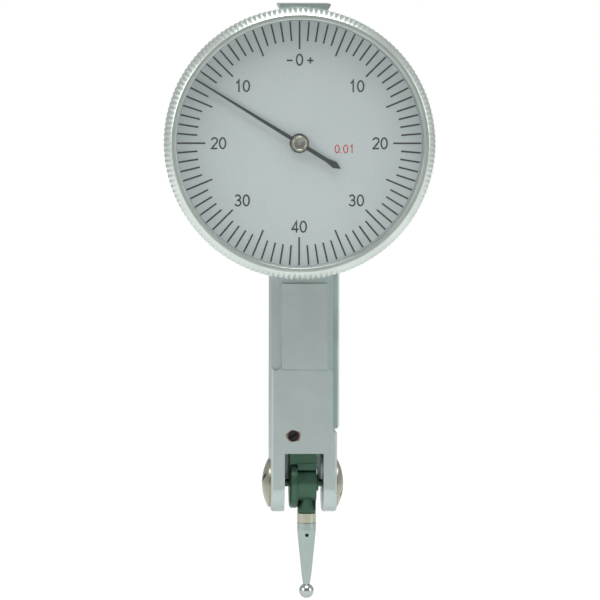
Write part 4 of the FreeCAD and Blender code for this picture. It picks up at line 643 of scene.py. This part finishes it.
def add_stroke(bm, points, width):
    """Ribbon of ink along a line of dial points (x, z), its corners mitred."""
    closed = (Vector(points[0]) - Vector(points[-1])).length < width * SAME_PLACE
    line = [Vector(point) for point in (points[:-1] if closed else points)]
    count = len(line)
    sides = []
    for index, here in enumerate(line):
        before = line[index - 1] if closed or index > 0 else here
        after = line[(index + 1) % count] if closed or index < count - 1 else here
        into = (here - before if before != here else after - here).normalized()
        away = (after - here if after != here else here - before).normalized()
        normals = [Vector((-way.y, way.x)) for way in (into, away)]
        mitre = (normals[0] + normals[1]).normalized()
        offset = mitre * (width / 2 / max(mitre.dot(normals[0]), LEAST_MITRE))
        sides.append([bm.verts.new((here.x + side * offset.x, DIAL_FACE - lift, here.y + side * offset.y))
                      for side in (1, -1) for lift in (0.0, INK_HEIGHT)])
    for index in range(count if closed else count - 1):
        a, b = sides[index], sides[(index + 1) % count]
        bm.faces.new((a[1], b[1], b[3], a[3]))
        bm.faces.new((a[0], b[0], b[1], a[1]))
        bm.faces.new((a[3], b[3], b[2], a[2]))
    if not closed:
        for end in (sides[0], sides[-1]):
            bm.faces.new((end[0], end[1], end[3], end[2]))


def printed_figures(name, figures, height, place, material):
    """A row of figures printed on the dial, centred at (x, z)."""
    advances = [ADVANCE.get(figure, FIGURE_ADVANCE) * height for figure in figures]
    left = place[0] - (sum(advances) - (FIGURE_ADVANCE - FIGURE_WIDTH) * height) / 2
    bottom = place[1] - height / 2
    bm = bmesh.new()
    for figure, advance in zip(figures, advances):
        for stroke in STROKES[figure]:
            add_stroke(bm, [(left + x * height, bottom + z * height) for x, z in stroke], PEN_WIDTH * height)
        left += advance
    row = finish_mesh(name, bm, material)
    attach(row, "bezel")


def make_numerals():
    """Scale figures counted both ways from the zero, and the value of a division."""
    printed_figures("figure_zero", "0", FIGURE_HEIGHT, (0.0, ZERO_HEIGHT), INK)
    printed_figures("sign_minus", "-", FIGURE_HEIGHT, (-SIGN_REACH, ZERO_HEIGHT), INK)
    printed_figures("sign_plus", "+", FIGURE_HEIGHT, (SIGN_REACH, ZERO_HEIGHT), INK)
    for value in (10, 20, 30):
        angle = 2 * math.pi * value / DIVISIONS
        for side, word in ((-1, "left"), (1, "right")):
            place = (side * FIGURE_RADIUS * math.sin(angle), FIGURE_RADIUS * math.cos(angle))
            printed_figures("figure_%d_%s" % (value, word), str(value), FIGURE_HEIGHT, place, INK)
    printed_figures("figure_40", "40", FIGURE_HEIGHT, (0.0, -FORTY_DROP), INK)
    printed_figures("figure_division", "0.01", UNIT_FIGURE_HEIGHT, UNIT_PLACE, RED_INK)


# ---- hand's hub --------------------------------------------------------------------------------------


def make_hub():
    """Turned cap of the hand: a bright bevel round a slightly sunk flat."""
    radius = size("hand_hub").x / 2
    front = low("hand_hub").y
    rear = high("hand_hub").y
    flat = radius - HUB_BEVEL
    outline = [
        (rear, HUB_BORE),
        (rear, radius),
        (front + HUB_BEVEL, radius),
        (front, flat),
        (front, flat - HUB_DISH),
        (front + HUB_DISH, flat - 2 * HUB_DISH),
        (front + HUB_DISH, HUB_BORE),
    ]
    cap = lathe("hub_cap", rounded_profile(outline, HUB_EDGE_ROUND), MATERIALS["hub_metal"],
                segments=SMALL_LATHE_STEPS)
    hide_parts("hand_hub")
    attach(cap, "hand")


# ---- details at the pivot and the foot ---------------------------------------------------------------


def make_block_lip():
    """Foot of the lever block, hollowed to follow the holder's round top."""
    radius = high("stylus_holder").z - PIVOT.z + HOLDER_CLEARANCE
    half = BLOCK_HALF_DEPTH
    top = radius + LIP_OVERLAP + HOLDER_CLEARANCE
    start = math.acos(LIP_LOW / radius)
    outline = [(-half, top), (-half, LIP_LOW)]
    for step in range(LIP_STEPS + 1):
        turn = start * (2 * step / LIP_STEPS - 1)
        outline.append((radius * math.sin(turn), radius * math.cos(turn)))
    outline += [(half, LIP_LOW), (half, top)]
    bm = bmesh.new()
    ends = []
    for x in (middle("friction_washer").x, high("lever_block").x):
        ends.append([bm.verts.new((x, PIVOT.y + y, PIVOT.z + z)) for y, z in outline])
    for end in ends:
        bm.faces.new(end)
    for index in range(len(outline)):
        after = (index + 1) % len(outline)
        bm.faces.new((ends[0][index], ends[0][after], ends[1][after], ends[1][index]))
    lip = finish_mesh("lever_block_lip", bm, MATERIALS["blackened_steel"])
    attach(lip, "lever")


def make_washer():
    """Blackened sprung washer between the block's cheek and the holder."""
    gap = middle("friction_washer").x
    bore = size("pivot_shaft").z / 2
    left, right = gap - WASHER_THICKNESS / 2, gap + WASHER_THICKNESS / 2
    outline = [(left, bore), (left, WASHER_RADIUS), (right, WASHER_RADIUS), (right, bore)]
    washer = lathe("washer_black", outline, MATERIALS["blackened_steel"], centre=PIVOT,
                   axis=Vector((1, 0, 0)), segments=SMALL_LATHE_STEPS)
    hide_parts("friction_washer")
    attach(washer, "lever")


def make_tommy_hole():
    """Near-black plug at the bottom of the stylus's spanner hole: painted shade for the hole's dark inside.
    """
    front = low("stylus").y + TOMMY_HOLE_DEPTH
    rear = 2 * PIVOT.y - front
    centre = Vector((middle("contact_ball").x, 0, PIVOT.z - TOMMY_HOLE_DROP))
    profile = [(front, 0.0), (front, TOMMY_HOLE_RADIUS), (rear, TOMMY_HOLE_RADIUS), (rear, 0.0)]
    # painted shade: the plug takes the hand's black so that the hole looks as dark as shade would make it
    plug = lathe("spanner_hole_painted_shade", profile, MATERIALS["hand_black"], centre=centre,
                 segments=HOLE_STEPS)
    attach(plug, "stylus")


def lacquer_wave(radius, share):
    """Uneven edge of a brushed-on lacquer spot, wider to its sides."""
    if radius < LACQUER_REACH:
        return radius
    swing = 2 * math.pi * share
    wider = LACQUER_WIDER * math.cos(2 * swing)
    ragged = LACQUER_RAGGED * math.sin(5 * swing + LACQUER_PHASE)
    return radius * (1 + wider + ragged)


def make_lacquer():
    """Thin ring of red locking lacquer round the set screw's hole."""
    rear = FRONT_OF_BAR
    front = rear - LACQUER_FILM
    centre = Vector((middle("set_screw").x, 0, middle("set_screw").z))
    radius = size("set_screw").x / 2
    profile = [(rear, radius), (rear, LACQUER_REACH * LACQUER_REAR), (front, LACQUER_REACH * LACQUER_FRONT),
               (front, radius)]
    ring = lathe("lacquer_trace", profile, LACQUER, centre=centre, segments=LACQUER_STEPS, wave=lacquer_wave)
    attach(ring, "housing")


# ---- floor, light and camera --------------------------------------------------------------------------


def make_camera():
    """Long lens, a little above and to the left of the dial's axis."""
    cam = bpy.data.cameras.new("camera")
    cam.sensor_width = SENSOR
    cam.lens = SENSOR * CAMERA_DISTANCE / VIEW_WIDTH
    obj = bpy.data.objects.new("camera", cam)
    bpy.context.scene.collection.objects.link(obj)
    back = Vector((math.sin(CAMERA_AZIMUTH) * math.cos(CAMERA_ELEVATION),
                   -math.cos(CAMERA_AZIMUTH) * math.cos(CAMERA_ELEVATION),
                   math.sin(CAMERA_ELEVATION)))
    obj.location = AIM + back * CAMERA_DISTANCE
    obj.rotation_mode = "QUATERNION"
    roll = Quaternion((0, 0, 1), CAMERA_ROLL)
    obj.rotation_quaternion = (-back).to_track_quat("-Z", "Y") @ roll
    cam.clip_start = CLIP_START
    cam.clip_end = CLIP_END
    bpy.context.scene.camera = obj


def camera_white(tree, lit, share, white):
    """Mixes plain white over a lit shader where the camera looks at it directly."""
    path = tree.nodes.new("ShaderNodeLightPath")
    glow = tree.nodes.new("ShaderNodeEmission")
    glow.inputs["Color"].default_value = (1, 1, 1, 1)
    glow.inputs["Strength"].default_value = white
    scale = tree.nodes.new("ShaderNodeMath")
    scale.operation = "MULTIPLY"
    scale.inputs[1].default_value = share
    mix = tree.nodes.new("ShaderNodeMixShader")
    tree.links.new(path.outputs["Is Camera Ray"], scale.inputs[0])
    tree.links.new(scale.outputs[0], mix.inputs["Fac"])
    tree.links.new(lit, mix.inputs[1])
    tree.links.new(glow.outputs[0], mix.inputs[2])
    return mix.outputs[0]


def make_floor():
    """Plain white floor, a little below the ball."""
    mat, tree, shader = new_material("floor_white")
    shader.inputs["Base Color"].default_value = (FLOOR_GREY, FLOOR_GREY, FLOOR_GREY, 1)
    shader.inputs["Roughness"].default_value = FLOOR_ROUGHNESS
    out = tree.nodes["Material Output"]
    seen = camera_white(tree, shader.outputs[0], FLOOR_WHITE_SHARE, FLOOR_WHITE)
    tree.links.new(seen, out.inputs["Surface"])
    bm = bmesh.new()
    bmesh.ops.create_circle(bm, cap_ends=True, segments=FLOOR_STEPS, radius=FLOOR_RADIUS)
    floor = finish_mesh("floor", bm, mat)
    floor.location = (0, 0, cad_box[0].z - FLOOR_DROP)


def direction_share(tree, direction, start, end):
    """0..1 as the view turns towards a direction, between two cosines."""
    coords = tree.nodes.new("ShaderNodeTexCoord")
    dot = tree.nodes.new("ShaderNodeVectorMath")
    dot.operation = "DOT_PRODUCT"
    dot.inputs[1].default_value = direction
    ramp = tree.nodes.new("ShaderNodeMapRange")
    ramp.interpolation_type = "SMOOTHSTEP"
    ramp.inputs["From Min"].default_value = start
    ramp.inputs["From Max"].default_value = end
    tree.links.new(coords.outputs["Generated"], dot.inputs[0])
    tree.links.new(dot.outputs["Value"], ramp.inputs["Value"])
    return ramp.outputs["Result"]


def make_world():
    """Soft studio walls: pale at the sides and above, greyer in front, behind and below."""
    world = bpy.data.worlds.new("studio")
    bpy.context.scene.world = world
    world.use_nodes = True
    tree = world.node_tree
    shade = tree.nodes["Background"]
    colour = None
    for direction, start, end, grey in WALLS:
        mix = tree.nodes.new("ShaderNodeMix")
        mix.data_type = "RGBA"
        mix.inputs["A"].default_value = (SIDE_WALL_GREY, SIDE_WALL_GREY, SIDE_WALL_GREY, 1)
        mix.inputs["B"].default_value = (grey, grey, grey, 1)
        if colour:
            tree.links.new(colour, mix.inputs["A"])
        tree.links.new(direction_share(tree, direction, start, end), mix.inputs["Factor"])
        colour = mix.outputs["Result"]
    tree.links.new(colour, shade.inputs["Color"])
    seen = camera_white(tree, shade.outputs[0], WORLD_WHITE_SHARE, WORLD_WHITE)
    tree.links.new(seen, tree.nodes["World Output"].inputs["Surface"])


def soft_lamp(name, place, target, width, power):
    """Large soft area lamp aimed at a point."""
    light = bpy.data.lights.new(name, "AREA")
    light.shape = "SQUARE"
    light.size = width
    light.energy = power
    lamp = bpy.data.objects.new(name, light)
    bpy.context.scene.collection.objects.link(lamp)
    lamp.location = place
    lamp.rotation_mode = "QUATERNION"
    lamp.rotation_quaternion = (Vector(target) - Vector(place)).to_track_quat("-Z", "Y")
    lamp.visible_camera = False


def make_lights():
    """A broad lamp overhead and a weaker one on either side."""
    for name, place, width, power in LAMPS:
        soft_lamp(name, place, LAMP_TARGET, width, power)


def main():
    """Dress the frame, add the visual pieces and set the stage."""
    bpy.context.scene.view_settings.view_transform = "Standard"
    make_camera()
    dress_cad_nodes()
    for name, width in EDGE_BREAKS.items():
        break_edges(nodes[name], width)
    make_bezel()
    make_spacer()
    make_graduations()
    make_numerals()
    make_hub()
    make_block_lip()
    make_washer()
    make_tommy_hole()
    make_lacquer()
    make_floor()
    make_world()
    make_lights()


main()
